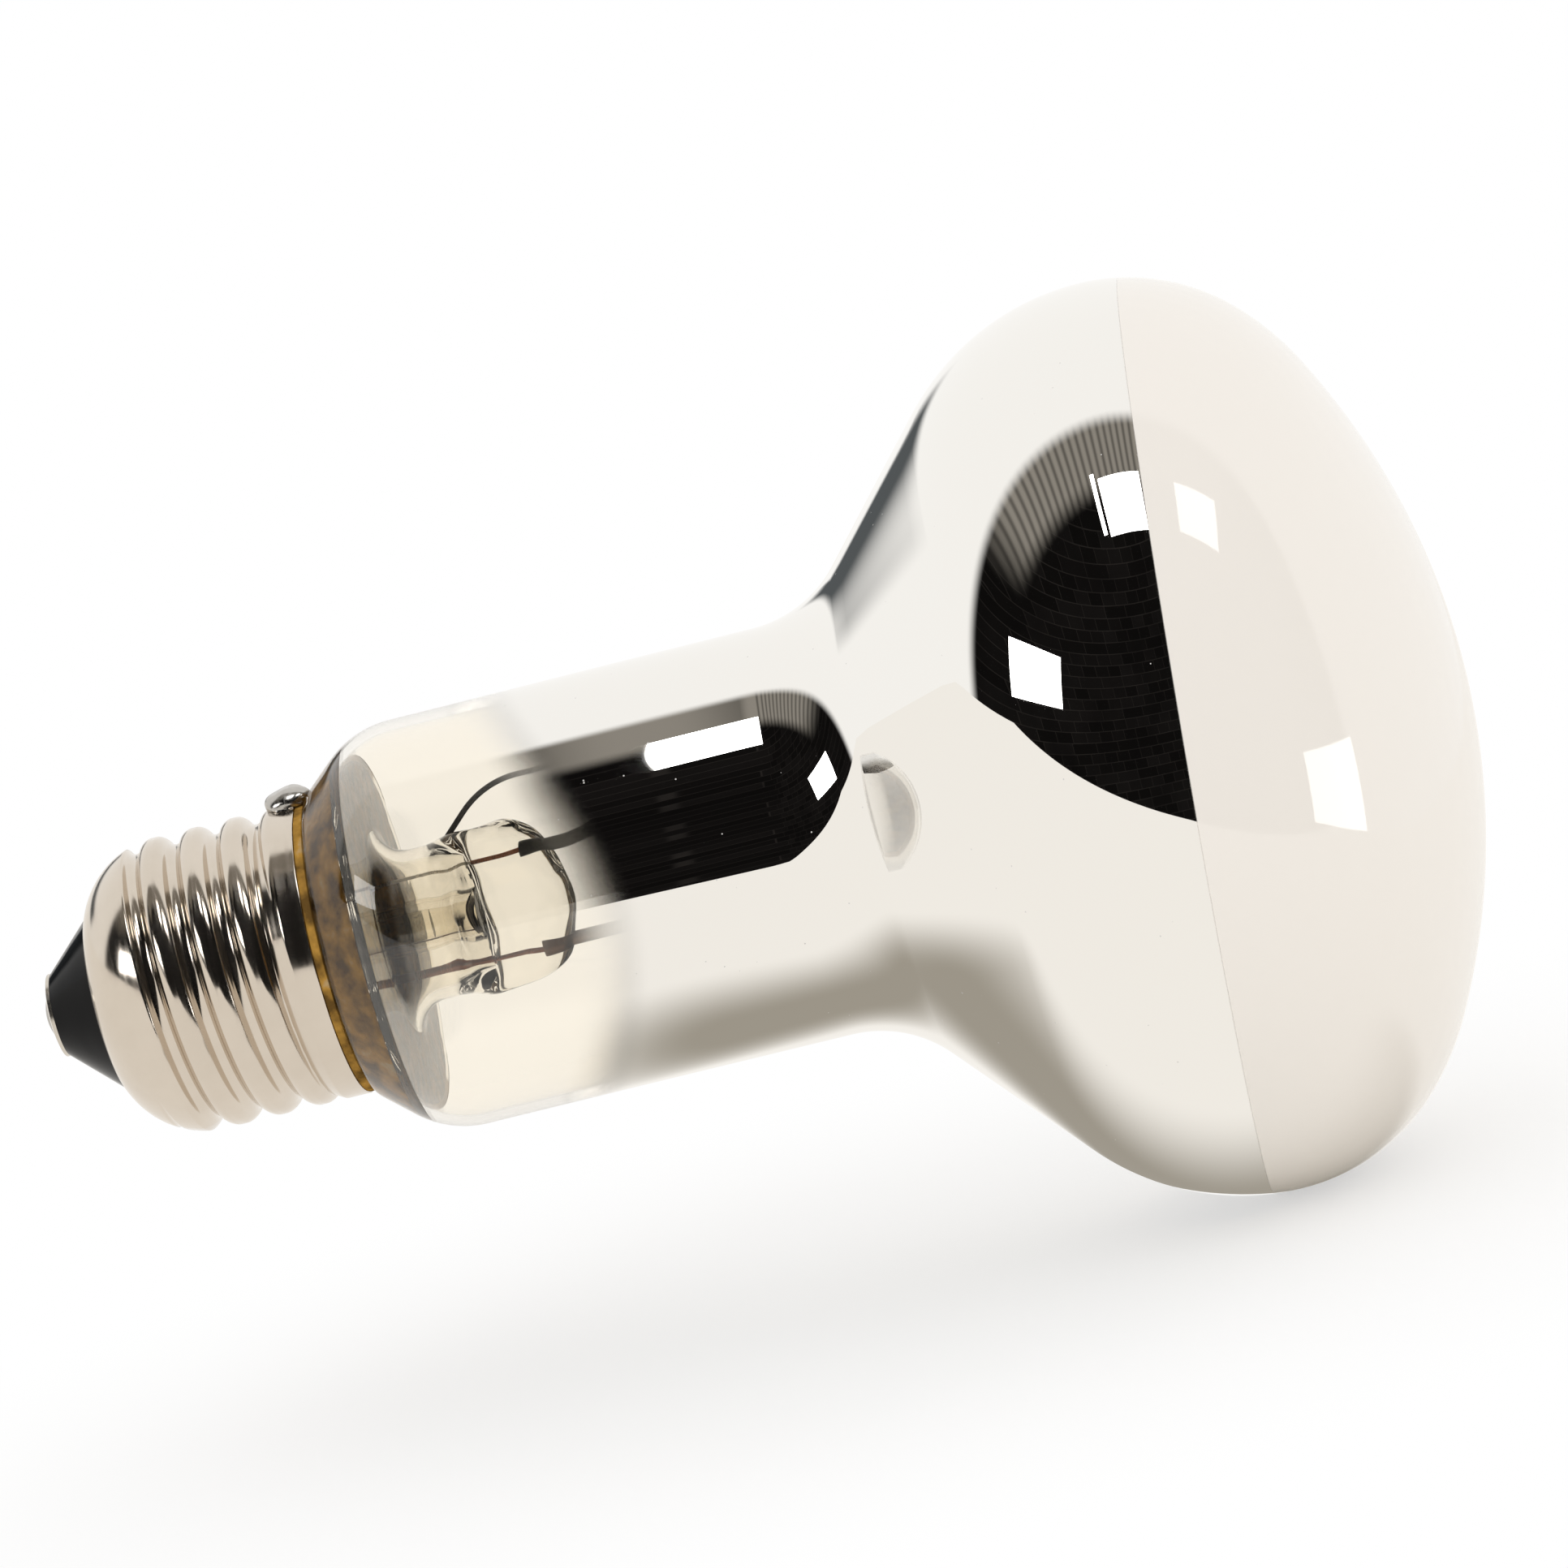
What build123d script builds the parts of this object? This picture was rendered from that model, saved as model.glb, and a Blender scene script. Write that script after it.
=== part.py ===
"""Reflector lamp with a screw cap: a blown glass bulb, clear at the neck, mirrored in the bell and
frosted on the face, with a pinched glass stem that carries a small quartz burner.

The lamp's axis is +X. The origin is the tip of the centre contact and the face is towards +X.
The lead wires lie in the XZ plane, and the solder on the rim is at the top, +Z. Millimetres.
"""

import os
from math import asin, atan, cos, degrees, radians, sin, sqrt, tan

from build123d import *

os.makedirs("parts", exist_ok=True)

# Screw cap: a thin shell with a rolled round thread
cap_length = 26.15
cap_r = 13.05
shell_wall = 0.4
shell_end_x = 5.75
shell_end_r = 8.1
shell_curl_x = 13.0
thread_pitch = 3.629
thread_depth = 1.05
thread_land = 0.1
thread_crest_flat = 0.02
thread_root_r = 0.7
thread_first_x = 7.59
thread_fade = 2.6
thread_margin = 2.0

# Contact end
contact_r = 3.7
contact_crown = 0.6
contact_edge = 0.3
eyelet_r = 1.6
eyelet_length = 2.5
tip_solder_r = 2.0
tip_solder_height = 0.35
insulator_inner_x = 8.0
rim_solder_inset = 0.5
rim_solder_r = 2.2
rim_solder_height = 1.5

# Cement
cement_lining = 1.0
cement_bead_inset = 0.1

# Bulb glass: the lip sits in the cap, and the bell is measured from the rim of the cap
glass_wall = 0.9
neck_r = 18.05
lip_rise = 0.85
lip_over = 0.35
lip_inset = 3.25
lip_angle = 75.0
lip_fillet = 2.0
shoulder_angle = 41.0
shoulder_share = 0.48
bell_distance = 76.55
bell_r = 40.0
back_r = 22.0
flank_angle = 48.0
throat_r = 11.0
front_r = 18.0
front_turn = 46.0
blend_r = 25.0
face_edge_angle = 62.0

# Stem: a flared tube that is pinched flat, measured from the flare
flare_share = 0.68
flare_fillet = 3.0
stem_wall = 1.0
stem_r = 6.7
pinch_start = 5.1
pinch_end = 9.6
hollow_depth = 8.9
hollow_slot = 1.6
press_half_width = 7.4
press_thick = 5.0
press_edge_r = 2.3
press_side = 12.5
press_length = 16.9
exhaust_r = 2.3
exhaust_bore_r = 1.3
exhaust_tip_x = 15.0
exhaust_vent = 10.7

# Lead wires, measured from the end of the press, and the support wire from the start of the pinch
lead_gap = 8.5
outer_lead_r = 0.4
rim_lead_r = 0.15
rim_lead_clear = 0.05
seal_wire_r = 0.2
seal_wire_length = 4.4
inner_lead_r = 0.6
upper_lead_straight = 0.7
upper_lead_length = 13.2
upper_lead_slope = 11.0
lower_lead_length = 11.7
lead_bend_r = 6.0
support_wire_r = 0.25
support_root = 1.9
support_root_z = 6.5
support_bend = 6.6
support_run_z = 10.85
support_bend_r = 8.0
support_hook = 1.5

# Burner: a quartz tube pinched flat at both ends
burner_setback = 16.95
chamber_length = 26.0
chamber_r = 5.2
quartz_wall = 1.0
chamber_dome = 3.5
taper_length = 3.0
pinch_length = 6.0
pinch_width = 8.4
pinch_thick = 2.8
pinch_edge_r = 0.8
electrode_r = 0.5
electrode_tip_r = 1.1
electrode_tip_length = 2.6
electrode_reach = 5.0
foil_length = 4.0
foil_width = 2.4
foil_thick = 0.12
pinch_lead_reach = 4.5
rear_lead_z = -2.0
probe_z = 2.0
probe_r = 0.25
probe_reach = 4.0

# Burner carrier, with the frame wire and the coil measured from the end of the press
frame_r = 0.5
frame_run_z = 7.5
frame_start = 5.7
frame_bend_r = 2.5
strap_wall = 0.4
strap_width = 3.0
resistor_r = 1.5
resistor_length = 6.5
resistor_wire_r = 0.25
resistor_stub = 0.9
coil_r = 0.7
coil_distance = 10.2
coil_gap_angle = 50.0
coil_tail_r = 0.25

# Places along the axis and radii that follow from these sizes
thread_fade_to = cap_length - thread_margin
thread_fade_from = thread_fade_to - thread_fade
rim_solder_x = cap_length - rim_solder_inset
lip_x = cap_length + lip_rise
lip_corner_r = cap_r + lip_over
lip_end_r = cap_r - lip_inset
lip_end_x = lip_x - (lip_corner_r - lip_end_r) / tan(radians(lip_angle))
shoulder_x = lip_x + (neck_r - lip_corner_r) / tan(radians(shoulder_angle))
shoulder_fillet = shoulder_share * neck_r
neck_start_x = shoulder_x + shoulder_fillet * tan(radians(shoulder_angle / 2))
bell_x = cap_length + bell_distance
flare_x = lip_x + flare_share * (shoulder_x - lip_x)
pinch_from_x = flare_x + pinch_start
pinch_to_x = flare_x + pinch_end
hollow_end_x = flare_x + hollow_depth
press_side_x = flare_x + press_side
press_end_x = flare_x + press_length
exhaust_vent_x = flare_x + exhaust_vent
upper_lead_bend_x = press_end_x + upper_lead_straight
upper_lead_end_x = press_end_x + upper_lead_length
lower_lead_end_x = press_end_x + lower_lead_length
support_root_x = pinch_from_x + support_root
support_bend_x = pinch_from_x + support_bend
frame_start_x = press_end_x + frame_start
coil_x = press_end_x + coil_distance
burner_x = bell_x - burner_setback


def on_shoulder(x, inset=0.0):
    """Radius of the bulb's shoulder at x, at a depth of inset under its outside."""
    slope = radians(shoulder_angle)
    round_r = shoulder_fillet - inset
    if neck_start_x - x < round_r * sin(slope):
        return neck_r - shoulder_fillet + sqrt(round_r**2 - (neck_start_x - x) ** 2)
    return neck_r - (shoulder_x - x) * tan(slope) - inset / cos(slope)


def bent_wire(points, bend_r, wire_r):
    """Round wire along straight runs that arcs of bend_r join."""
    with BuildPart() as wire:
        with BuildLine() as path:
            FilletPolyline(*points, radius=bend_r)
        with BuildSketch(Plane(path.line @ 0, z_dir=path.line % 0)):
            Circle(wire_r)
        sweep(path=path.line)
    return wire.part


def straight_wire(start_x, end_x, z, wire_r):
    """Round wire parallel to the lamp's axis."""
    with BuildPart() as wire:
        with BuildSketch(Plane.YZ.offset(start_x)):
            with Locations((0, z)):
                Circle(wire_r)
        extrude(amount=end_x - start_x)
    return wire.part


# The shell's rounded end is an arc that is tangent to its straight wall
curl_rise = cap_r - shell_end_r
curl_run = shell_curl_x - shell_end_x
curl_r = (curl_run**2 + curl_rise**2) / (2 * curl_rise)
curl_centre_r = cap_r - curl_r

# Crest and root of the thread are arcs that meet at one slope, and the crest is rolled a little flat
groove_half = (thread_pitch - thread_land) / 2
groove_depth = thread_depth + thread_crest_flat
groove_turn = 2 * degrees(atan(groove_depth / groove_half))
thread_crest_r = groove_half / sin(radians(groove_turn)) - thread_root_r


def on_curl(x, inset):
    """Radius of the shell's rounded end at x, at a depth of inset under its outside."""
    return curl_centre_r + sqrt((curl_r - inset) ** 2 - (shell_curl_x - x) ** 2)


inner_end_x = shell_curl_x - curl_run * (curl_r - shell_wall) / curl_r
end_hole_r = on_curl(inner_end_x, shell_wall)


def rolled_form(inset):
    """Solid inside the rolled sheet's surface, at a depth of inset under its outside."""
    crest = cap_r - inset
    root = crest - thread_depth
    with BuildPart() as groove:
        with BuildLine() as helix:
            Helix(
                pitch=thread_pitch,
                height=thread_fade_to + 3 * thread_pitch / 2 - thread_first_x,
                radius=root,
                center=(thread_first_x - thread_pitch, 0, 0),
                direction=(1, 0, 0),
            )
        with BuildSketch(Plane.XZ):
            with BuildLine():
                start = (thread_first_x - thread_pitch - groove_half, crest + thread_crest_flat)
                first = JernArc(start, (1, 0), thread_crest_r - inset, -groove_turn)
                bottom = JernArc(first @ 1, first % 1, thread_root_r + inset, 2 * groove_turn)
                last = JernArc(bottom @ 1, bottom % 1, thread_crest_r - inset, -groove_turn)
                above = Vector(0, thread_depth)
                Polyline(last @ 1, (last @ 1) + above, (first @ 0) + above, first @ 0)
            make_face()
        sweep(path=helix.line, is_frenet=True)
        with BuildSketch() as kept:
            with BuildLine():
                Polyline(
                    (0, root - thread_depth),
                    (thread_fade_from, root - shell_wall),
                    (thread_fade_to, crest),
                    (thread_fade_to, crest + 2 * thread_depth),
                    (0, crest + 2 * thread_depth),
                    close=True,
                )
            make_face()
        revolve(kept.sketch, axis=Axis.X, mode=Mode.INTERSECT)
    with BuildPart() as form:
        with BuildSketch():
            with BuildLine():
                wall = Line((cap_length, crest), (shell_curl_x, crest))
                reach = degrees(asin(curl_run / curl_r))
                curl = JernArc(wall @ 1, (-1, 0), curl_r - inset, reach)
                Polyline(curl @ 1, ((curl @ 1).X, 0), (cap_length, 0), wall @ 0)
            make_face()
        revolve(axis=Axis.X)
        add(groove.part, mode=Mode.SUBTRACT)
    return form.part


# Cap shell: the rolled sheet lies between two threaded forms
with BuildPart() as cap_shell:
    add(rolled_form(0.0))
    add(rolled_form(shell_wall), mode=Mode.SUBTRACT)
    with BuildSketch(Plane.YZ):
        Circle(end_hole_r)
    extrude(amount=insulator_inner_x, mode=Mode.SUBTRACT)
cap_shell.part.label = "cap_shell"

# Centre contact: a domed disc with an eyelet that goes into the insulator
contact_seat_x = tip_solder_height + contact_crown + contact_edge
contact_dome_r = (contact_r**2 + contact_crown**2) / (2 * contact_crown)
with BuildPart() as centre_contact:
    with BuildSketch():
        with BuildLine():
            dome = RadiusArc(
                (tip_solder_height, 0), (tip_solder_height + contact_crown, contact_r), contact_dome_r
            )
            Polyline(
                dome @ 1,
                (contact_seat_x, contact_r),
                (contact_seat_x, eyelet_r),
                (contact_seat_x + eyelet_length, eyelet_r),
                (contact_seat_x + eyelet_length, 0),
                dome @ 0,
            )
        make_face()
    revolve(axis=Axis.X)
    with BuildSketch(Plane.YZ):
        Circle(outer_lead_r)
    extrude(amount=contact_seat_x + eyelet_length, mode=Mode.SUBTRACT)
centre_contact.part.label = "centre_contact"

# Tip solder: a low dome on the contact
with BuildPart() as tip_solder:
    with BuildSketch():
        with BuildLine():
            sag = contact_dome_r - sqrt(contact_dome_r**2 - tip_solder_r**2)
            edge = (tip_solder_height + sag, tip_solder_r)
            crown = TangentArc((0, 0), edge, tangent=(0, 1))
            under = RadiusArc((tip_solder_height, 0), edge, contact_dome_r)
            Line((0, 0), under @ 0)
        make_face()
    revolve(axis=Axis.X)
tip_solder.part.label = "tip_solder"

# Insulator: a glass cone that fills the end of the shell
with BuildPart() as cap_insulator:
    with BuildSketch():
        with BuildLine():
            middle_x = (inner_end_x + insulator_inner_x) / 2
            curl = ThreePointArc(
                (inner_end_x, end_hole_r),
                (middle_x, on_curl(middle_x, shell_wall)),
                (insulator_inner_x, on_curl(insulator_inner_x, shell_wall)),
            )
            Polyline(
                curl @ 1,
                (insulator_inner_x, 0),
                (contact_seat_x, 0),
                (contact_seat_x, contact_r),
                (shell_end_x, end_hole_r),
                curl @ 0,
            )
        make_face()
    revolve(axis=Axis.X)
    with BuildSketch(Plane.YZ):
        Circle(eyelet_r)
    extrude(amount=insulator_inner_x, mode=Mode.SUBTRACT)
cap_insulator.part.label = "cap_insulator"

# Bulb: one blown wall from the lip inside the cap to the middle of the face
flank = radians(flank_angle)
back_start = Vector(bell_x - back_r * sin(flank), bell_r - back_r + back_r * cos(flank))
throat_end_r = neck_r + throat_r * (1 - cos(flank))
throat_end_x = back_start.X - (back_start.Y - throat_end_r) / tan(flank)
throat_x = throat_end_x - throat_r * sin(flank)
with BuildPart() as glass_envelope:
    with BuildSketch():
        with BuildLine():
            neck = FilletPolyline(
                (lip_end_x, lip_end_r),
                (lip_x, lip_corner_r),
                (shoulder_x, neck_r),
                (throat_x, neck_r),
                radius=(lip_fillet, shoulder_fillet),
            )
            throat = JernArc(neck @ 1, (1, 0), throat_r, flank_angle)
            side = Line(throat @ 1, back_start)
            back = JernArc(side @ 1, side % 1, back_r, -flank_angle)
            front = JernArc(back @ 1, back % 1, front_r, -front_turn)
            blend = JernArc(front @ 1, front % 1, blend_r, front_turn - face_edge_angle)
            face_r = (blend @ 1).Y / cos(radians(face_edge_angle))
            face = JernArc(blend @ 1, blend % 1, face_r, face_edge_angle - 90)
            offset(amount=glass_wall, side=Side.RIGHT)
        make_face()
    revolve(axis=Axis.X)
glass_envelope.part.label = "glass_envelope"
print("bulb length", round((face @ 1).X, 2))

# Wires that the stem's glass holds
lead_z = lead_gap / 2
seal_end_x = hollow_end_x + seal_wire_length
with BuildPart() as seal_wire_upper:
    add(straight_wire(hollow_end_x, seal_end_x, lead_z, seal_wire_r))
seal_wire_upper.part.label = "seal_wire_upper"
with BuildPart() as seal_wire_lower:
    add(straight_wire(hollow_end_x, seal_end_x, -lead_z, seal_wire_r))
seal_wire_lower.part.label = "seal_wire_lower"

upper_lead_end_z = lead_z + (upper_lead_end_x - upper_lead_bend_x) * tan(radians(upper_lead_slope))
with BuildPart() as inner_lead_upper:
    upper_route = (
        (seal_end_x, 0, lead_z),
        (upper_lead_bend_x, 0, lead_z),
        (upper_lead_end_x, 0, upper_lead_end_z),
    )
    add(bent_wire(upper_route, lead_bend_r, inner_lead_r))
inner_lead_upper.part.label = "inner_lead_upper"
with BuildPart() as inner_lead_lower:
    add(straight_wire(seal_end_x, lower_lead_end_x, -lead_z, inner_lead_r))
inner_lead_lower.part.label = "inner_lead_lower"

# The support wire's hook hangs over the ballast coil
coil_ring_r = support_run_z - support_wire_r - coil_r
with BuildPart() as support_wire:
    hook_x = coil_x + coil_r + 2 * support_wire_r
    support_route = (
        (support_root_x, 0, support_root_z),
        (support_bend_x, 0, support_run_z),
        (hook_x, 0, support_run_z),
        (hook_x, 0, support_run_z - support_hook),
    )
    add(bent_wire(support_route, (support_bend_r, 2 * support_wire_r), support_wire_r))
support_wire.part.label = "support_wire"

# Stem: flare, pinched tube and press
with BuildPart() as glass_stem:
    with BuildSketch():
        with BuildLine():
            gas_x = flare_x + stem_wall
            turn_r = stem_r + flare_fillet
            turn_x = gas_x + flare_fillet
            outer = Polyline(
                (flare_x, on_shoulder(flare_x, glass_wall / 2)), (gas_x, on_shoulder(gas_x, glass_wall / 2))
            )
            Line(outer @ 1, (gas_x, turn_r))
            gas_turn = RadiusArc((gas_x, turn_r), (turn_x, stem_r), -flare_fillet)
            Polyline(gas_turn @ 1, (pinch_from_x, stem_r), (pinch_from_x, stem_r - stem_wall))
            Line((pinch_from_x, stem_r - stem_wall), (turn_x, stem_r - stem_wall))
            air_turn = RadiusArc(
                (turn_x, stem_r - stem_wall), (flare_x, turn_r), flare_fillet + stem_wall
            )
            Line(air_turn @ 1, outer @ 0)
        make_face()
    revolve(axis=Axis.X)
    add(glass_envelope.part, mode=Mode.SUBTRACT)
    with BuildSketch(Plane.YZ.offset(pinch_from_x)):
        Circle(stem_r)
    with BuildSketch(Plane.YZ.offset(pinch_to_x)):
        RectangleRounded(press_thick, 2 * press_half_width, press_edge_r)
    loft()
    with BuildSketch(Plane.YZ.offset(pinch_to_x)):
        RectangleRounded(press_thick, 2 * press_half_width, press_edge_r)
    extrude(amount=press_end_x - pinch_to_x)
    with BuildSketch(Plane.XZ):
        with BuildLine():
            crown = ThreePointArc(
                (press_side_x, -press_half_width), (press_end_x, 0), (press_side_x, press_half_width)
            )
            Polyline(crown @ 1, (0, press_half_width), (0, -press_half_width), crown @ 0)
        make_face()
        Rectangle(2 * press_side_x, 4 * neck_r)
    extrude(amount=neck_r, both=True, mode=Mode.INTERSECT)
    crown_edges = glass_stem.edges().filter_by_position(Axis.X, press_side_x, press_end_x + 1)
    fillet(crown_edges.filter_by(GeomType.CIRCLE), press_edge_r / 2)
    with BuildSketch(Plane.YZ.offset(pinch_from_x)):
        Circle(stem_r - stem_wall)
    with BuildSketch(Plane.YZ.offset(hollow_end_x)):
        RectangleRounded(hollow_slot, 2 * lead_z + 4 * seal_wire_r, hollow_slot / 3)
    loft(mode=Mode.SUBTRACT)
    with BuildSketch(Plane.YZ.offset(pinch_from_x)):
        Circle(exhaust_bore_r)
    extrude(amount=exhaust_vent_x - pinch_from_x, mode=Mode.SUBTRACT)
    with BuildSketch(Plane.XZ):
        with Locations((exhaust_vent_x - exhaust_bore_r, 0)):
            Circle(exhaust_bore_r)
    extrude(amount=press_thick, mode=Mode.SUBTRACT)
    for wire in (seal_wire_upper, seal_wire_lower, inner_lead_upper, inner_lead_lower, support_wire):
        add(wire.part, mode=Mode.SUBTRACT)
glass_stem.part.label = "glass_stem"

# Exhaust tube: fused to the press, drawn off and closed inside the cap
with BuildPart() as exhaust_tube:
    with BuildSketch():
        with BuildLine():
            tip = TangentArc((exhaust_tip_x, 0), (exhaust_tip_x + exhaust_r, exhaust_r), tangent=(0, 1))
            Polyline(
                tip @ 1,
                (hollow_end_x, exhaust_r),
                (hollow_end_x, exhaust_bore_r),
                (exhaust_tip_x + exhaust_r, exhaust_bore_r),
            )
            bore_end = TangentArc(
                (exhaust_tip_x + exhaust_r, exhaust_bore_r),
                (exhaust_tip_x + exhaust_r - exhaust_bore_r, 0),
                tangent=(-1, 0),
            )
            Line(bore_end @ 1, tip @ 0)
        make_face()
    revolve(axis=Axis.X)
    add(glass_stem.part, mode=Mode.SUBTRACT)
exhaust_tube.part.label = "exhaust_tube"

# Outer leads: one to the centre contact, one round the glass to the solder on the rim
with BuildPart() as outer_lead_centre:
    swing_x = exhaust_tip_x - 2 * outer_lead_r
    turn_in_x = insulator_inner_x + 2 * outer_lead_r
    centre_route = (
        (hollow_end_x, 0, -lead_z),
        (swing_x, 0, -lead_z),
        (turn_in_x, 0, 0),
        (tip_solder_height, 0, 0),
    )
    add(bent_wire(centre_route, 2 * outer_lead_r, outer_lead_r))
outer_lead_centre.part.label = "outer_lead_centre"

lip_slope = tan(radians(lip_angle))
rim_lead_offset = (rim_lead_r + rim_lead_clear) / cos(radians(lip_angle))


def rim_lead_x(r):
    """Where the rim lead, beside the lip of the glass, has the radius r."""
    return lip_x - (lip_corner_r + rim_lead_offset - r) / lip_slope


with BuildPart() as outer_lead_rim:
    under_lip_r = lip_end_r - 2 * glass_wall
    rim_route = (
        (hollow_end_x, 0, lead_z),
        (rim_lead_x(under_lip_r), 0, lead_z),
        (rim_lead_x(under_lip_r), 0, under_lip_r),
        (rim_lead_x(cap_r), 0, cap_r),
    )
    add(bent_wire(rim_route, 2 * rim_lead_r, rim_lead_r))
outer_lead_rim.part.label = "outer_lead_rim"

# Rim solder: a blob on the shell that takes the end of the rim lead
half_wall = glass_wall / 2
with BuildPart() as rim_solder:
    with BuildSketch(Plane.XZ):
        with BuildLine():
            foot = cap_r - rim_solder_height / 2
            crown_z = cap_r + rim_solder_height
            crown = TangentArc((rim_solder_x, crown_z), (rim_solder_x + rim_solder_r, foot), tangent=(1, 0))
            Polyline(crown @ 1, (rim_solder_x, foot), crown @ 0)
        make_face()
    revolve(axis=Axis((rim_solder_x, 0, 0), (0, 0, 1)))
    with BuildSketch(Plane.YZ):
        Circle(cap_r)
    extrude(amount=2 * cap_length, mode=Mode.SUBTRACT)
    with BuildSketch(Plane.YZ.offset(lip_x + half_wall)):
        Circle(lip_corner_r)
    extrude(amount=2 * rim_solder_r, mode=Mode.SUBTRACT)
    for neighbour in (glass_envelope, outer_lead_rim):
        add(neighbour.part, mode=Mode.SUBTRACT)
rim_solder.part.label = "rim_solder"

# Cement: fills the space round the lip of the glass and under the flare
with BuildPart() as capping_cement:
    with BuildSketch():
        cement_bore_r = lip_end_r - cement_lining
        cement_bead_r = cap_r - cement_bead_inset
        bead_x = lip_x - (lip_corner_r - cement_bead_r) / lip_slope
        with BuildLine():
            Polyline(
                (thread_fade_to, cement_bore_r),
                (thread_fade_to, cap_r - shell_wall),
                (cap_length, cap_r - shell_wall),
                (cap_length, cement_bead_r),
                (bead_x + half_wall, cement_bead_r),
                (flare_x, on_shoulder(flare_x, half_wall)),
                (flare_x, cement_bore_r),
                close=True,
            )
        make_face()
    revolve(axis=Axis.X)
    for neighbour in (glass_envelope, glass_stem, outer_lead_rim):
        add(neighbour.part, mode=Mode.SUBTRACT)
capping_cement.part.label = "capping_cement"

# Burner's metal parts
rear_x = burner_x - chamber_length / 2
front_x = burner_x + chamber_length / 2
rear_pinch_x = rear_x - taper_length
front_pinch_x = front_x + taper_length
rear_end_x = rear_pinch_x - pinch_length
front_end_x = front_pinch_x + pinch_length
foil_inset = (pinch_length - foil_length) / 2


def electrode(root_x, way, z):
    """Rod from a foil into the chamber, with a thick coil round its tip."""
    tip_x = root_x + way * (foil_inset + taper_length + electrode_reach)
    tip_root_x = tip_x - way * electrode_tip_length
    with BuildPart() as rod:
        add(straight_wire(min(root_x, tip_x), max(root_x, tip_x), z, electrode_r))
        add(straight_wire(min(tip_root_x, tip_x), max(tip_root_x, tip_x), z, electrode_tip_r))
    return rod.part


def foil(start_x, z):
    """Thin strip in the middle of a pinch."""
    with BuildPart() as strip:
        with BuildSketch(Plane.YZ.offset(start_x)):
            with Locations((0, z)):
                Rectangle(foil_thick, foil_width)
        extrude(amount=foil_length)
    return strip.part


with BuildPart() as front_foil:
    add(foil(front_pinch_x + foil_inset, 0))
front_foil.part.label = "front_foil"
with BuildPart() as rear_foil:
    add(foil(rear_pinch_x - foil_inset - foil_length, rear_lead_z))
rear_foil.part.label = "rear_foil"
with BuildPart() as front_electrode:
    add(electrode(front_pinch_x + foil_inset, -1, 0))
front_electrode.part.label = "front_electrode"
with BuildPart() as rear_electrode:
    add(electrode(rear_pinch_x - foil_inset, 1, rear_lead_z))
rear_electrode.part.label = "rear_electrode"
with BuildPart() as front_pinch_lead:
    add(straight_wire(front_end_x - foil_inset, front_end_x + pinch_lead_reach, 0, inner_lead_r))
front_pinch_lead.part.label = "front_pinch_lead"
with BuildPart() as rear_pinch_lead:
    rear_lead_end_x = min(rear_end_x - pinch_lead_reach, coil_x - inner_lead_r)
    add(straight_wire(rear_lead_end_x, rear_end_x + foil_inset, rear_lead_z, inner_lead_r))
rear_pinch_lead.part.label = "rear_pinch_lead"

# Starting probe and its resistor, between the rear pinch and the upper lead
resistor_end_x = rear_end_x - 2 * resistor_wire_r
with BuildPart() as starting_probe:
    add(straight_wire(resistor_end_x, rear_x + probe_reach, probe_z, probe_r))
starting_probe.part.label = "starting_probe"
with BuildPart() as starting_resistor:
    resistor_start_x = resistor_end_x - resistor_length
    with BuildSketch(Plane.YZ.offset(resistor_start_x)):
        with Locations((0, probe_z)):
            Circle(resistor_r)
    extrude(amount=resistor_length)
    fillet(starting_resistor.edges().filter_by(GeomType.CIRCLE), resistor_r / 4)
    stub_x = resistor_start_x - resistor_stub
    stub_route = ((resistor_start_x, 0, probe_z), (stub_x, 0, probe_z), (stub_x, 0, upper_lead_end_z))
    add(bent_wire(stub_route, 2 * resistor_wire_r, resistor_wire_r))
    add(inner_lead_upper.part, mode=Mode.SUBTRACT)
    stub_solids = starting_resistor.part.solids().sort_by(SortBy.VOLUME)
    add(stub_solids[-1], mode=Mode.REPLACE)
starting_resistor.part.label = "starting_resistor"

# Frame wire: welded along the upper lead, past the burner, down to its front lead
frame_y = frame_r + inner_lead_r
with BuildPart() as frame_wire:
    lead_slope = tan(radians(upper_lead_slope))
    frame_start_z = lead_z + (frame_start_x - upper_lead_bend_x) * lead_slope
    level_x = upper_lead_bend_x + (frame_run_z - lead_z) / lead_slope
    drop_x = front_end_x + pinch_lead_reach / 2
    frame_route = (
        (frame_start_x, frame_y, frame_start_z),
        (level_x, frame_y, frame_run_z),
        (drop_x, frame_y, frame_run_z),
        (drop_x, frame_y, -2 * inner_lead_r),
    )
    add(bent_wire(frame_route, frame_bend_r, frame_r))
frame_wire.part.label = "frame_wire"

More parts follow.
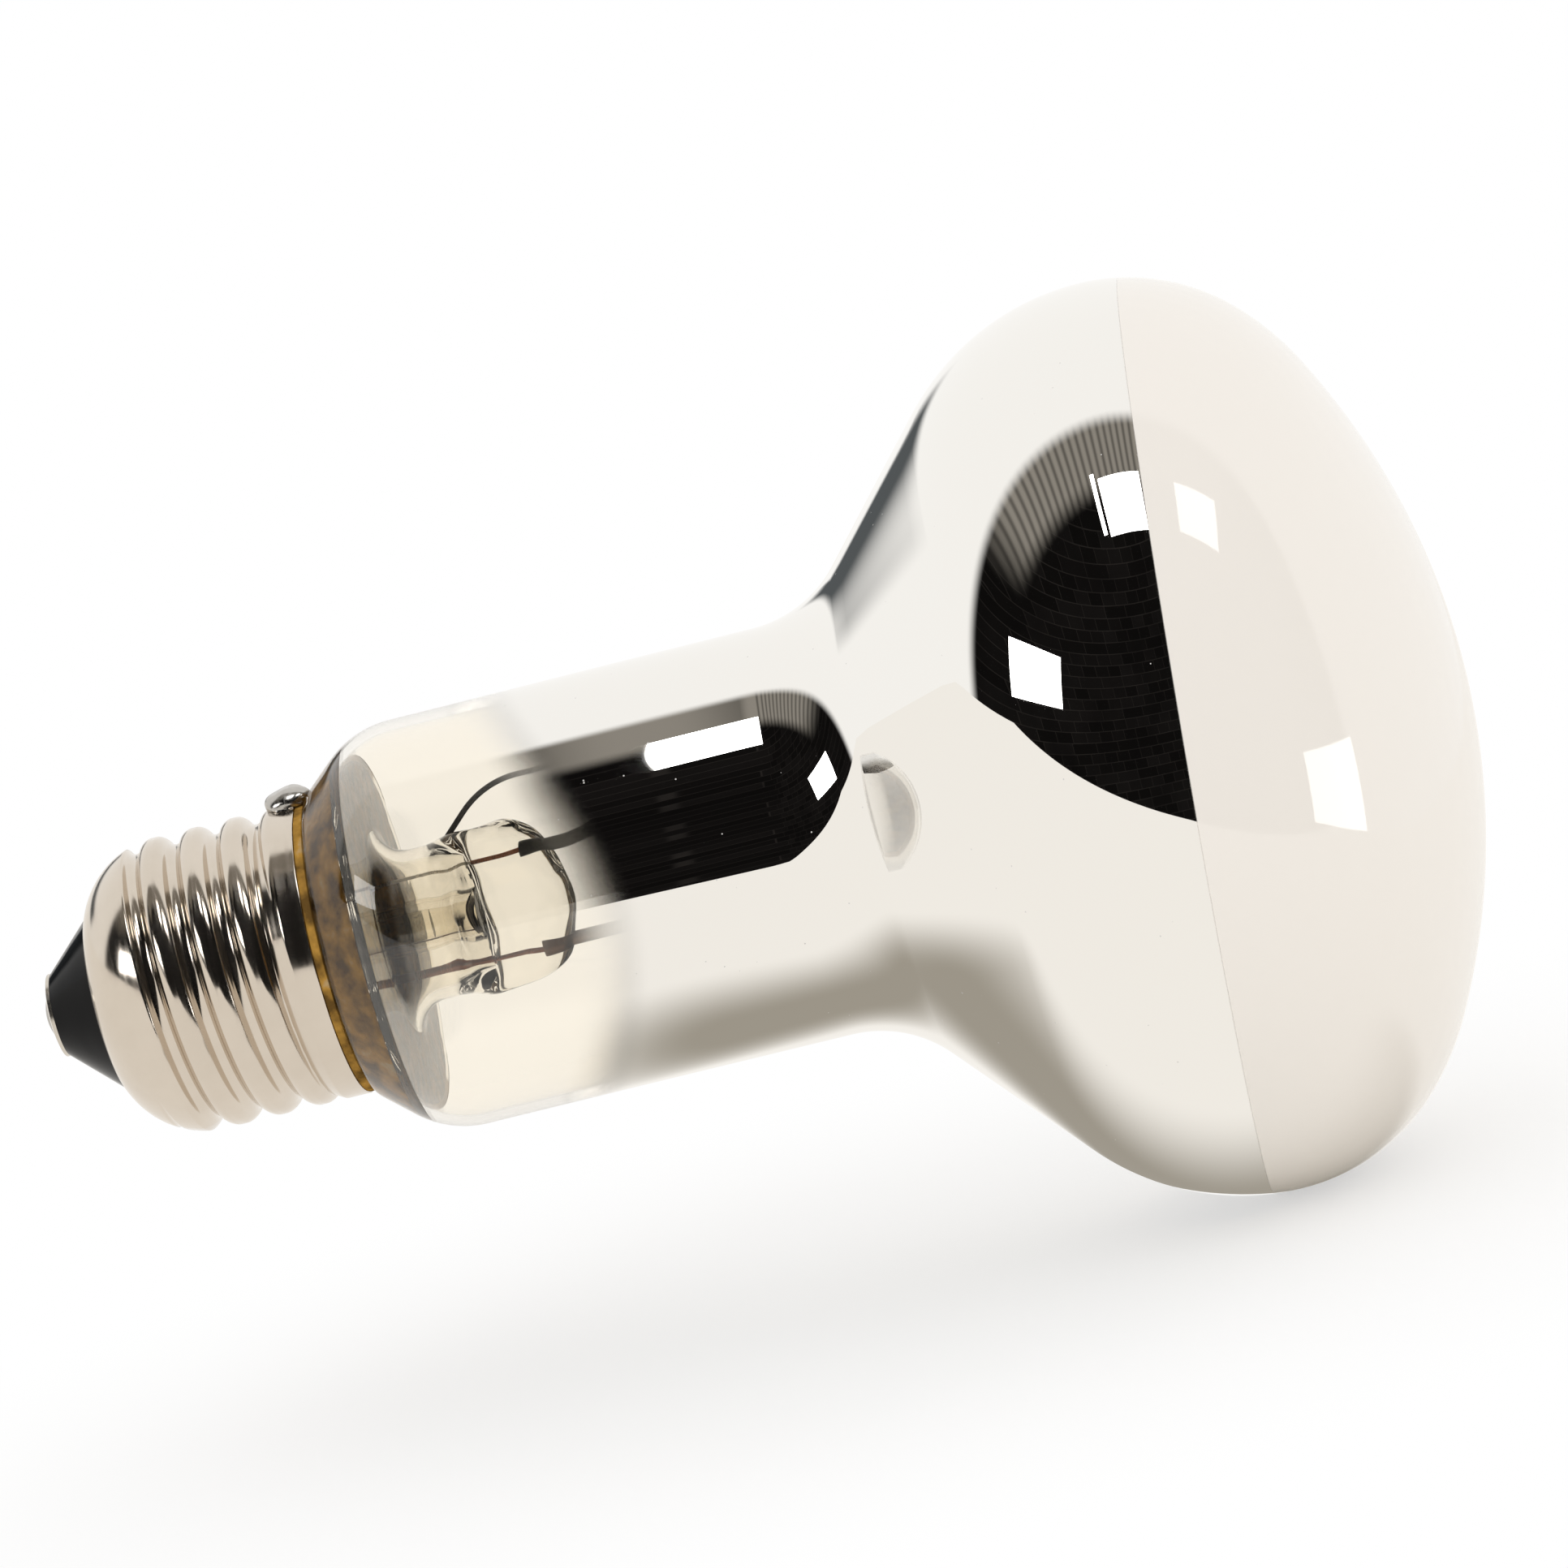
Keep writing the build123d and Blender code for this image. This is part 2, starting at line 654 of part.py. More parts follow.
# Quartz tube: round chamber between two flat pinches that are shrunk on the wires
with BuildPart() as arc_tube:
    with BuildSketch(Plane.YZ.offset(rear_x)):
        Circle(chamber_r)
    extrude(amount=chamber_length)
    for end_x, way in ((rear_x, -1), (front_x, 1)):
        with BuildSketch(Plane.YZ.offset(end_x)):
            Circle(chamber_r)
        with BuildSketch(Plane.YZ.offset(end_x + way * taper_length)):
            RectangleRounded(pinch_thick, pinch_width, pinch_edge_r)
        loft()
        with BuildSketch(Plane.YZ.offset(end_x + way * taper_length)):
            RectangleRounded(pinch_thick, pinch_width, pinch_edge_r)
        extrude(amount=way * pinch_length)
    held = (front_foil, rear_foil, front_electrode, rear_electrode)
    for piece in held + (front_pinch_lead, rear_pinch_lead, starting_probe):
        add(piece.part, mode=Mode.SUBTRACT)
    with BuildSketch() as cavity:
        with BuildLine():
            cavity_r = chamber_r - quartz_wall
            top = Line((rear_x + chamber_dome, cavity_r), (front_x - chamber_dome, cavity_r))
            front_dome = TangentArc(top @ 1, (front_x, 0), tangent=(1, 0))
            rear_dome = TangentArc(top @ 0, (rear_x, 0), tangent=(-1, 0))
            Line(rear_dome @ 1, front_dome @ 1)
        make_face()
    revolve(cavity.sketch, axis=Axis.X, mode=Mode.SUBTRACT)
arc_tube.part.label = "arc_tube"


def strap(start_x):
    """Metal strap round a pinch, with a tab that is welded to the frame wire."""
    with BuildPart() as band:
        with BuildSketch(Plane.YZ.offset(start_x)):
            RectangleRounded(
                pinch_thick + 2 * strap_wall, pinch_width + 2 * strap_wall, pinch_edge_r + strap_wall
            )
            tab_foot_z = pinch_width / 2
            with Locations((frame_y, (tab_foot_z + frame_run_z) / 2)):
                Rectangle(2 * strap_wall, frame_run_z - tab_foot_z)
            RectangleRounded(pinch_thick, pinch_width, pinch_edge_r, mode=Mode.SUBTRACT)
            with Locations((frame_y, frame_run_z)):
                Circle(frame_r, mode=Mode.SUBTRACT)
        extrude(amount=strap_width)
    return band.part


strap_inset = (pinch_length - strap_width) / 2
with BuildPart() as front_strap:
    add(strap(front_pinch_x + strap_inset))
front_strap.part.label = "front_strap"
with BuildPart() as rear_strap:
    add(strap(rear_pinch_x - strap_inset - strap_width))
rear_strap.part.label = "rear_strap"

# Ballast filament: a coil in an open ring, with a tail to each lead below it
with BuildPart() as ballast_filament:
    half_gap = radians(coil_gap_angle / 2)
    ring_y = coil_ring_r * sin(half_gap)
    ring_z = -coil_ring_r * cos(half_gap)
    with BuildLine() as ring:
        ThreePointArc((coil_x, ring_y, ring_z), (coil_x, 0, coil_ring_r), (coil_x, -ring_y, ring_z))
    with BuildSketch(Plane(ring.line @ 0, z_dir=ring.line % 0)):
        Circle(coil_r)
    sweep(path=ring.line)
    for side_y, end_z in ((ring_y, -lead_z), (-ring_y, rear_lead_z)):
        with BuildLine() as tail:
            Line((coil_x, side_y, ring_z), (coil_x, 0, end_z))
        with BuildSketch(Plane(tail.line @ 0, z_dir=tail.line % 0)):
            Circle(coil_tail_r)
        sweep(path=tail.line)
    for lead in (inner_lead_lower, rear_pinch_lead):
        add(lead.part, mode=Mode.SUBTRACT)
ballast_filament.part.label = "ballast_filament"

pieces = (
    glass_envelope,
    glass_stem,
    exhaust_tube,
    cap_shell,
    cap_insulator,
    centre_contact,
    tip_solder,
    rim_solder,
    capping_cement,
    outer_lead_centre,
    outer_lead_rim,
    seal_wire_upper,
    seal_wire_lower,
    inner_lead_upper,
    inner_lead_lower,
    support_wire,
    frame_wire,
    arc_tube,
    front_electrode,
    rear_electrode,
    front_foil,
    rear_foil,
    front_pinch_lead,
    rear_pinch_lead,
    front_strap,
    rear_strap,
    starting_probe,
    starting_resistor,
    ballast_filament,
)
for piece in pieces:
    export_step(piece.part, f"parts/{piece.part.label}.step")
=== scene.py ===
"""Looks of a reflector lamp with a screw cap: clear neck, mirrored bell, frosted face, glass stem."""

import logging
import math
from dataclasses import dataclass
from enum import Enum

import bmesh
import bpy
from mathutils import Matrix, Vector, noise


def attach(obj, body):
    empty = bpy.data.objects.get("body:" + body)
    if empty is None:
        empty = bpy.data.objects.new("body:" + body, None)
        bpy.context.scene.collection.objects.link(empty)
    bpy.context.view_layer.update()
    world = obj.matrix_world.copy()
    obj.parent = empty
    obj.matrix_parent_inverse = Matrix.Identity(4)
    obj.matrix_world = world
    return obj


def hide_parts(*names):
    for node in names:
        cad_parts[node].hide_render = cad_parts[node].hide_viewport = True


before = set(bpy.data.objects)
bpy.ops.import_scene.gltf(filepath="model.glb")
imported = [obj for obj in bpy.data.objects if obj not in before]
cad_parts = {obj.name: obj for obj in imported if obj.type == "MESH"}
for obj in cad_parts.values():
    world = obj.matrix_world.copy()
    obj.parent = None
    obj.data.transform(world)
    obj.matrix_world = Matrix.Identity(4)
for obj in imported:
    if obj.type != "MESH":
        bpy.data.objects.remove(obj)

LOG = logging.getLogger("lamp")
MM = 0.001
# Vertices that are this close become one, in metres
WELD = 1e-7
# Faces of glass that meet at more than this angle keep their edge
GLASS_EDGE = math.radians(40)
IMAGE_SIDE = 1932
WHITE = (1.0, 1.0, 1.0, 1.0)
SQUARE = ((-1, -1), (1, -1), (1, 1), (-1, 1))
# What a step of a calculation adds: the node's type name, the setting that the step's own name goes to, the
# numbers of the inputs for its terms, and the number of its output. A step that isn't listed is a sum.
SUM = ("ShaderNodeMath", "operation", (0, 1, 2), 0)
OTHER_STEPS = {
    # A share that rises softly from one value to another
    "SMOOTHSTEP": ("ShaderNodeMapRange", "interpolation_type", (0, 1, 2, 3), 0),
    # A share of one colour laid over another
    "RGBA": ("ShaderNodeMix", "data_type", (0, 6, 7), 2),
}
Point = tuple[float, float]
Triple = tuple[float, float, float]
Colour = tuple[float, float, float, float]
Section = tuple[float, float, float, float]
Limit = tuple[str, float, float]
Tree = bpy.types.NodeTree
Material = bpy.types.Material
Mesh = bpy.types.Mesh


def linear(code: str) -> Colour:
    """Turn an sRGB hex colour into linear light.

    Args:
        code: Six hex digits, such as "EFE8DF".
    Returns:
        Red, green, blue and a full alpha.
    """
    channels = (int(code[i : i + 2], 16) / 255 for i in (0, 2, 4))
    red, green, blue = (c / 12.92 if c <= 0.04045 else ((c + 0.055) / 1.055) ** 2.4 for c in channels)
    return red, green, blue, 1.0


def add_node(tree: Tree, kind: str, inputs: dict | None = None, **settings: object) -> bpy.types.Node:
    """Add one node with its settings, values and links.

    Args:
        tree: The tree that gets the node.
        kind: The node's type name.
        inputs: Socket name or number to a value, or to the output socket that feeds it.
        **settings: The node's own properties.
    Returns:
        The new node.
    """
    node = tree.nodes.new(kind)
    for name, value in settings.items():
        setattr(node, name, value)
    for key, value in (inputs or {}).items():
        if isinstance(value, bpy.types.NodeSocket):
            tree.links.new(value, node.inputs[key])
        else:
            node.inputs[key].default_value = value
    return node


def work_out(tree: Tree, known: dict, steps: tuple) -> dict:
    """Add the nodes of a calculation with numbers and colours.

    Args:
        tree: The tree that gets the nodes.
        known: Names of values to their sockets or numbers.
        steps: Rows of a new name, what is done and the names, numbers or colours that it is done with.
    Returns:
        The known values with the new ones.
    """
    values = dict(known)
    for name, action, *terms in steps:
        kind, setting, sockets, result = OTHER_STEPS.get(action, SUM)
        inputs = {socket: values.get(term, term) for socket, term in zip(sockets, terms)}
        values[name] = add_node(tree, kind, inputs, **{setting: action}).outputs[result]
    return values


def polar(centre: Point, radius: float, angle: float) -> Point:
    """Point at a distance from a centre, at an angle in degrees from the axis towards larger radii."""
    turn = math.radians(angle)
    return centre[0] + radius * math.cos(turn), centre[1] + radius * math.sin(turn)


def arc_points(centre: Point, radius: float, start: float, end: float, steps: int) -> list[Point]:
    """Points on an arc, both ends included, from one angle to another."""
    return [polar(centre, radius, start + (end - start) * i / steps) for i in range(steps + 1)]


def between(start: Point, end: Point, steps: int) -> list[Point]:
    """Points that divide a line into equal steps, without its ends."""
    shares = (i / steps for i in range(1, steps))
    return [(start[0] + (end[0] - start[0]) * s, start[1] + (end[1] - start[1]) * s) for s in shares]


def turned_mesh(name: str, profile: list[Point], segments: int, closed: bool = False) -> Mesh:
    """Turn a profile about the lamp's axis, +X.

    Args:
        name: The mesh's name.
        profile: Points of position along the axis and radius, in mm. A radius of 0 becomes a pole.
        segments: Steps in a full turn.
        closed: Whether the last point joins the first.
    Returns:
        A mesh in metres with its faces outwards.
    """
    shape = bmesh.new()
    rings = []
    for x, r in profile:
        if r <= 0:
            rings.append([shape.verts.new((x * MM, 0, 0))])
            continue
        turns = (math.tau * i / segments for i in range(segments))
        rings.append([shape.verts.new((x * MM, r * math.cos(a) * MM, r * math.sin(a) * MM)) for a in turns])
    pairs = list(zip(rings, rings[1:]))
    if closed:
        pairs.append((rings[-1], rings[0]))
    bridge_rings(shape, pairs)
    return finished_mesh(shape, name)


def bridge_rings(shape: bmesh.types.BMesh, pairs: list) -> None:
    """Join neighbouring rings with faces.

    Args:
        shape: The mesh that holds the rings.
        pairs: Pairs of rings, where a ring of one vertex is a pole.
    """
    for first, second in pairs:
        count = max(len(first), len(second))
        for i in range(count):
            j = (i + 1) % count
            corners = [first[i % len(first)], second[i % len(second)]]
            corners += [second[j % len(second)], first[j % len(first)]]
            unique = list(dict.fromkeys(corners))
            if len(unique) > 2:
                shape.faces.new(unique)


def finished_mesh(shape: bmesh.types.BMesh, name: str) -> Mesh:
    """Close a working mesh: merge doubles, turn the faces outwards and shade them smooth.

    Args:
        shape: The working mesh, which is freed.
        name: The new mesh's name.
    Returns:
        The finished mesh.
    """
    bmesh.ops.remove_doubles(shape, verts=shape.verts, dist=WELD)
    bmesh.ops.recalc_face_normals(shape, faces=shape.faces)
    for face in shape.faces:
        face.smooth = True
    mesh = bpy.data.meshes.new(name)
    shape.to_mesh(mesh)
    shape.free()
    return mesh


class Slot(Enum):
    """Material slots of the record for the new pieces, which this script doesn't give them."""

    BULB_GLASS = "bulb_glass"
    STEM_GLASS = "stem_glass"
    CAP_METAL = "cap_metal"
    SOLDER = "solder"
    CEMENT = "cement"


def place(mesh: Mesh, material: Material, node: str) -> None:
    """Put a finished piece in the frame, in the place of a CAD node.

    Args:
        mesh: The piece's mesh, whose name the piece takes.
        material: Its material.
        node: The CAD node that it stands for.
    """
    mesh.materials.clear()
    mesh.materials.append(material)
    piece = bpy.data.objects.new(mesh.name, mesh)
    bpy.context.scene.collection.objects.link(piece)
    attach(piece, "root")
    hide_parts(node)
    LOG.info("%s: %d faces", piece.name, len(mesh.polygons))


def new_material(name: str) -> tuple[Material, Tree]:
    """Start a material with an empty tree.

    Args:
        name: The material's name.
    Returns:
        The material and its tree.
    """
    material = bpy.data.materials.new(name)
    material.use_nodes = True
    material.node_tree.nodes.clear()
    return material, material.node_tree


@dataclass(frozen=True)
class Finish:
    """A surface, named for the real material. The sizes of its patterns are in mm."""

    name: str

    def surface(self, tree: Tree) -> dict:
        """Inputs of the surface's shader, with the nodes that feed them."""
        raise NotImplementedError

    def material(self) -> Material:
        """Make the material.

        Returns:
            The material with the surface's shader.
        """
        material, tree = new_material(self.name)
        shader = add_node(tree, "ShaderNodeBsdfPrincipled", self.surface(tree))
        add_node(tree, "ShaderNodeOutputMaterial", {"Surface": shader.outputs[0]})
        return material


@dataclass(frozen=True)
class BulbGlass(Finish):
    """Blown soda-lime glass, with an aluminium mirror inside the bell and a white frost inside the face.

    The eye sees through the neck, then into a mirror that starts softly, then a warm white under gloss.
    Positions are along the lamp's axis.
    """

    name: str = "blown_bulb_glass"
    clear_tint: str = "FDF9F1"
    mirror_colour: str = "F4F2EE"
    frost_colour: str = "F3EDE5"
    dust_colour: str = "D8D6D2"
    ior: float = 1.5
    gloss_roughness: float = 0.012
    frost_roughness: float = 0.03
    mirror_from: float = 41.5
    mirror_full: float = 48.0
    mirror_bow: float = 0.022
    mirror_lean: float = 0.03
    frost_edge: float = 103.25
    frost_tilt: float = 0.0748
    frost_soft: float = 0.12
    dust_spacing: float = 1.5
    dust_size: float = 0.07
    dust_share: float = 0.45

    def surface(self, tree: Tree) -> dict:
        """Lay the mirror, the frost and the dust over the clear glass.

        Args:
            tree: The material's tree.
        Returns:
            The shader's inputs.
        """
        place_on = add_node(tree, "ShaderNodeTexCoord").outputs["Object"]
        axes = add_node(tree, "ShaderNodeSeparateXYZ", {0: place_on}).outputs
        grid = {"Vector": place_on, "Scale": 1 / (self.dust_spacing * MM)}
        cells = add_node(tree, "ShaderNodeTexVoronoi", grid).outputs
        chance = add_node(tree, "ShaderNodeSeparateColor", {0: cells["Color"]}).outputs[0]
        known = {"x": axes["X"], "y": axes["Y"], "z": axes["Z"], "near": cells["Distance"], "chance": chance}
        steps = (
            # The mirror's edge bows away from the cap at the front and the back, and leans a little
            ("y_sq", "MULTIPLY", "y", "y"),
            ("bowed", "MULTIPLY_ADD", "y_sq", -self.mirror_bow / MM, "x"),
            ("leaning", "MULTIPLY_ADD", "z", self.mirror_lean, "bowed"),
            ("silver", "SMOOTHSTEP", "leaning", self.mirror_from * MM, self.mirror_full * MM),
            # The frost's edge is narrow and tilted
            ("tilt", "MULTIPLY", "z", self.frost_tilt),
            ("along", "SUBTRACT", "x", "tilt"),
            ("past", "SUBTRACT", "along", (self.frost_edge - self.frost_soft / 2) * MM),
            ("share", "DIVIDE", "past", self.frost_soft * MM),
            ("low", "MAXIMUM", "share", 0.0),
            ("frost", "MINIMUM", "low", 1.0),
            ("open", "SUBTRACT", 1.0, "frost"),
            ("mirror", "MULTIPLY", "silver", "open"),
            # Dust lies on the mirror as fine pale specks
            ("close", "LESS_THAN", "near", self.dust_size / self.dust_spacing),
            ("lies", "LESS_THAN", "chance", self.dust_share),
            ("spot", "MULTIPLY", "close", "lies"),
            ("dust", "MULTIPLY", "spot", "mirror"),
            ("clean", "SUBTRACT", 1.0, "dust"),
            ("metal", "MULTIPLY", "mirror", "clean"),
            ("through", "MULTIPLY", "open", "clean"),
            ("rough", "MULTIPLY_ADD", "frost", self.frost_roughness, self.gloss_roughness),
            ("silvered", "RGBA", "mirror", linear(self.clear_tint), linear(self.mirror_colour)),
            ("frosted", "RGBA", "frost", "silvered", linear(self.frost_colour)),
            ("colour", "RGBA", "dust", "frosted", linear(self.dust_colour)),
        )
        zone = work_out(tree, known, steps)
        return {
            "Base Color": zone["colour"],
            "Metallic": zone["metal"],
            "Roughness": zone["rough"],
            "Transmission Weight": zone["through"],
            "IOR": self.ior,
        }


@dataclass(frozen=True)
class ClearGlass(Finish):
    """Clear pressed glass: what is behind it shows, bent, and its edges are dark or bright."""

    tint: str
    ior: float = 1.5

    def surface(self, tree: Tree) -> dict:
        """Inputs of a shader that lets all light through."""
        clear = {"Base Color": linear(self.tint), "Roughness": 0.0}
        return clear | {"Transmission Weight": 1.0, "IOR": self.ior}


@dataclass(frozen=True)
class RolledMetal(Finish):
    """Metal that was rolled, drawn or plated: a tinted reflection, blurred a little by fine tool lines.

    The lines are drawn as coarse as they need to show. A skin of oxide hides the metal, so an oxidised
    wire has a bare share of 0.
    """

    colour: str
    worn_colour: str
    roughness: float
    bare: float = 1.0
    patch: float = 4.0
    line: float = 0.35
    line_run: float = 16.667
    smoothest: float = 0.7
    roughest: float = 1.4

    def surface(self, tree: Tree) -> dict:
        """Tint the metal in patches and roughen it along its lines.

        Args:
            tree: The material's tree.
        Returns:
            The shader's inputs.
        """
        place_on = add_node(tree, "ShaderNodeTexCoord").outputs["Object"]
        across, along = 1 / (self.line * MM), 1 / (self.line_run * MM)
        stretch = {"Vector": place_on, "Scale": (across, along, along)}
        stretched = add_node(tree, "ShaderNodeMapping", stretch).outputs[0]
        fine = {"Vector": stretched, "Scale": 1.0, "Detail": 3.0}
        lines = add_node(tree, "ShaderNodeTexNoise", fine).outputs[0]
        spread = {"Value": lines, "From Min": 0.3, "From Max": 0.7}
        spread |= {"To Min": self.roughness * self.smoothest, "To Max": self.roughness * self.roughest}
        rough = add_node(tree, "ShaderNodeMapRange", spread).outputs[0]
        broad = {"Vector": place_on, "Scale": 1 / (self.patch * MM), "Detail": 4.0}
        patches = add_node(tree, "ShaderNodeTexNoise", broad).outputs[0]
        worn = (("tone", "RGBA", "patches", linear(self.colour), linear(self.worn_colour)),)
        tone = work_out(tree, {"patches": patches}, worn)["tone"]
        return {"Base Color": tone, "Metallic": self.bare, "Roughness": rough}


@dataclass(frozen=True)
class BlackGlass(Finish):
    """Black cast glass: deep black with a sharp gloss, and a little flow in the surface."""

    name: str = "black_cast_glass"
    colour: str = "060607"
    flow: float = 5.0
    flow_depth: float = 0.3

    def surface(self, tree: Tree) -> dict:
        """Let the black surface wander a little.

        Args:
            tree: The material's tree.
        Returns:
            The shader's inputs.
        """
        place_on = add_node(tree, "ShaderNodeTexCoord").outputs["Object"]
        flow = {"Vector": place_on, "Scale": 1 / (self.flow * MM), "Detail": 1.0}
        relief = {"Strength": 0.25, "Distance": self.flow_depth * MM}
        relief["Height"] = add_node(tree, "ShaderNodeTexNoise", flow).outputs[0]
        bump = add_node(tree, "ShaderNodeBump", relief).outputs[0]
        gloss = {"Roughness": 0.06, "Specular IOR Level": 0.08}
        return {"Base Color": linear(self.colour), "Normal": bump} | gloss


@dataclass(frozen=True)
class BakedCement(Finish):
    """Brown resin cement baked against the glass: mottled, with ochre streaks and pale dry spots."""

    name: str = "baked_capping_cement"
    dark: str = "684E27"
    ochre: str = "BB8E42"
    dry: str = "C2B08E"
    dark_to: float = 0.38
    ochre_at: float = 0.62
    dry_at: float = 0.75
    mottle: float = 2.2
    grit: float = 0.5
    grit_depth: float = 0.2

    def surface(self, tree: Tree) -> dict:
        """Mottle the cement and grain it.

        Args:
            tree: The material's tree.
        Returns:
            The shader's inputs.
        """
        place_on = add_node(tree, "ShaderNodeTexCoord").outputs["Object"]
        mottle = {"Vector": place_on, "Scale": 1 / (self.mottle * MM), "Detail": 6.0}
        patches = add_node(tree, "ShaderNodeTexNoise", mottle).outputs[0]
        ramp = add_node(tree, "ShaderNodeValToRGB", {"Fac": patches})
        stops = ramp.color_ramp.elements
        stops[0].position, stops[0].color = self.dark_to, linear(self.dark)
        stops[1].position, stops[1].color = self.ochre_at, linear(self.ochre)
        stops.new(self.dry_at).color = linear(self.dry)
        relief = {"Strength": 0.4, "Distance": self.grit_depth * MM}
        grit = {"Vector": place_on, "Scale": 1 / (self.grit * MM), "Detail": 2.0}
        relief["Height"] = add_node(tree, "ShaderNodeTexNoise", grit).outputs[0]
        bump = add_node(tree, "ShaderNodeBump", relief).outputs[0]
        matt = {"Roughness": 0.6, "Specular IOR Level": 0.0}
        return {"Base Color": ramp.outputs[0], "Normal": bump} | matt


@dataclass(frozen=True)
class GlazedCeramic(Finish):
    """Glazed ceramic of a small resistor: off-white with a soft gloss and faint specks."""

    name: str = "glazed_ceramic"
    colour: str = "DDD5C4"
    speck_colour: str = "B9AF9B"
    speck: float = 0.6

    def surface(self, tree: Tree) -> dict:
        """Speckle the glaze.

        Args:
            tree: The material's tree.
        Returns:
            The shader's inputs.
        """
        place_on = add_node(tree, "ShaderNodeTexCoord").outputs["Object"]
        fine = {"Vector": place_on, "Scale": 1 / (self.speck * MM), "Detail": 3.0}
        specks = add_node(tree, "ShaderNodeTexNoise", fine).outputs[0]
        glaze = (("tone", "RGBA", "specks", linear(self.colour), linear(self.speck_colour)),)
        return {"Base Color": work_out(tree, {"specks": specks}, glaze)["tone"], "Roughness": 0.3}


@dataclass
class Bulb:
    """The blown bulb, from the lip inside the cap to the middle of the face. Sizes in mm."""

    wall: float = 0.9
    neck_r: float = 18.05
    shoulder_x: float = 32.349
    shoulder_angle: float = 41.0
    shoulder_fillet: float = 8.664
    lip_fillet: float = 2.0
    lip_x: float = 27.0
    lip_angle: float = 75.0
    lip_end_r: float = 9.8
    bell_x: float = 102.7
    bell_r: float = 40.0
    back_r: float = 22.0
    flank_angle: float = 48.0
    throat_r: float = 11.0
    front_r: float = 18.0
    front_turn: float = 46.0
    blend_r: float = 25.0
    face_edge_angle: float = 62.0
    lip_steps: int = 10
    lip_turn_steps: int = 12
    cone_steps: int = 8
    shoulder_steps: int = 24
    neck_steps: int = 24
    throat_steps: int = 16
    flank_steps: int = 8
    back_steps: int = 22
    front_steps: int = 18
    blend_steps: int = 10
    face_steps: int = 26
    segments: int = 176
    blow_wave: float = 30.0
    blow_depth: float = 0.03

    def on_shoulder(self, x: float, inset: float = 0.0) -> float:
        """Radius of the shoulder.

        Args:
            x: Position along the axis.
            inset: Depth under the outside.
        Returns:
            The radius there.
        """
        slope = math.radians(self.shoulder_angle)
        round_r = self.shoulder_fillet - inset
        left = self.shoulder_x + self.shoulder_fillet * math.tan(slope / 2) - x
        if left < round_r * math.sin(slope):
            return self.neck_r - self.shoulder_fillet + math.sqrt(round_r**2 - left**2)
        return self.neck_r - (self.shoulder_x - x) * math.tan(slope) - inset / math.cos(slope)

    def lip_at(self, r: float) -> float:
        """Position along the axis where the outside of the lip has the radius r."""
        return self.lip_x - (self.on_shoulder(self.lip_x) - r) / math.tan(math.radians(self.lip_angle))

    def outline(self) -> list[Point]:
        """Outside of the glass.

        Returns:
            Points from the lip's end to the pole of the face.
        """
        # The lip turns into the shoulder by a small arc, whose centre lies inside both
        turn = math.radians(self.lip_angle - self.shoulder_angle)
        corner = (self.lip_x, self.on_shoulder(self.lip_x))
        lip_end = (self.lip_at(self.lip_end_r), self.lip_end_r)
        arc_start = polar(corner, -self.lip_fillet * math.tan(turn / 2), self.lip_angle)
        arc_c = polar(arc_start, self.lip_fillet, self.lip_angle - 90)
        cone_angle = 90 + self.shoulder_angle
        points = [lip_end] + between(lip_end, arc_start, self.lip_steps)
        points += arc_points(arc_c, self.lip_fillet, 90 + self.lip_angle, cone_angle, self.lip_turn_steps)
        # Shoulder, throat and back are arcs, with straight glass before each. The flank touches two of them
        round_x = self.shoulder_x + self.shoulder_fillet * math.tan(math.radians(self.shoulder_angle / 2))
        round_c = (round_x, self.neck_r - self.shoulder_fillet)
        shoulder = arc_points(round_c, self.shoulder_fillet, cone_angle, 90, self.shoulder_steps)
        back_c = (self.bell_x, self.bell_r - self.back_r)
        back = arc_points(back_c, self.back_r, 90 + self.flank_angle, 90, self.back_steps)
        throat_c = (0.0, self.neck_r + self.throat_r)
        throat_end = polar(throat_c, self.throat_r, self.flank_angle - 90)
        flank_run = (back[0][1] - throat_end[1]) / math.tan(math.radians(self.flank_angle))
        throat_c = (back[0][0] - flank_run - throat_end[0], throat_c[1])
        throat = arc_points(throat_c, self.throat_r, -90, self.flank_angle - 90, self.throat_steps)
        straights = (self.cone_steps, self.neck_steps, self.flank_steps)
        for arc, steps in zip((shoulder, throat, back), straights):
            points += between(points[-1], arc[0], steps) + arc
        # The front of the bell blends into the shallow dome of the face
        front_end = 90 - self.front_turn
        front_c = (self.bell_x, self.bell_r - self.front_r)
        points += arc_points(front_c, self.front_r, 90, front_end, self.front_steps)[1:]
        blend_c = polar(points[-1], -self.blend_r, front_end)
        edge = 90 - self.face_edge_angle
        points += arc_points(blend_c, self.blend_r, front_end, edge, self.blend_steps)[1:]
        face_r = points[-1][1] / math.sin(math.radians(edge))
        face_c = (polar(points[-1], -face_r, edge)[0], 0.0)
        points += arc_points(face_c, face_r, edge, 0, self.face_steps)[1:]
        points[-1] = (points[-1][0], 0.0)
        return points

    def inside(self, outline: list[Point]) -> list[Point]:
        """Inside of the wall.

        Args:
            outline: Points of the outside.
        Returns:
            The same points moved in by the wall's thickness.
        """
        spots = [Vector(point) for point in outline]
        ways = [(after - before).normalized() for before, after in zip(spots, spots[1:])]
        moved = []
        for spot, before, after in zip(spots, ways[:1] + ways, ways + ways[-1:]):
            way = (before + after).normalized()
            moved.append(tuple(spot + Vector((way.y, -way.x)) * self.wall))
        moved[-1] = (outline[-1][0] - self.wall, 0.0)
        return moved

    def build(self, finish: BulbGlass) -> None:
        """Make the bulb and put it in the frame.

        Args:
            finish: Its glass and coats.
        """
        outline = self.outline()
        mesh = turned_mesh("bulb", outline + self.inside(outline)[::-1], self.segments, closed=True)
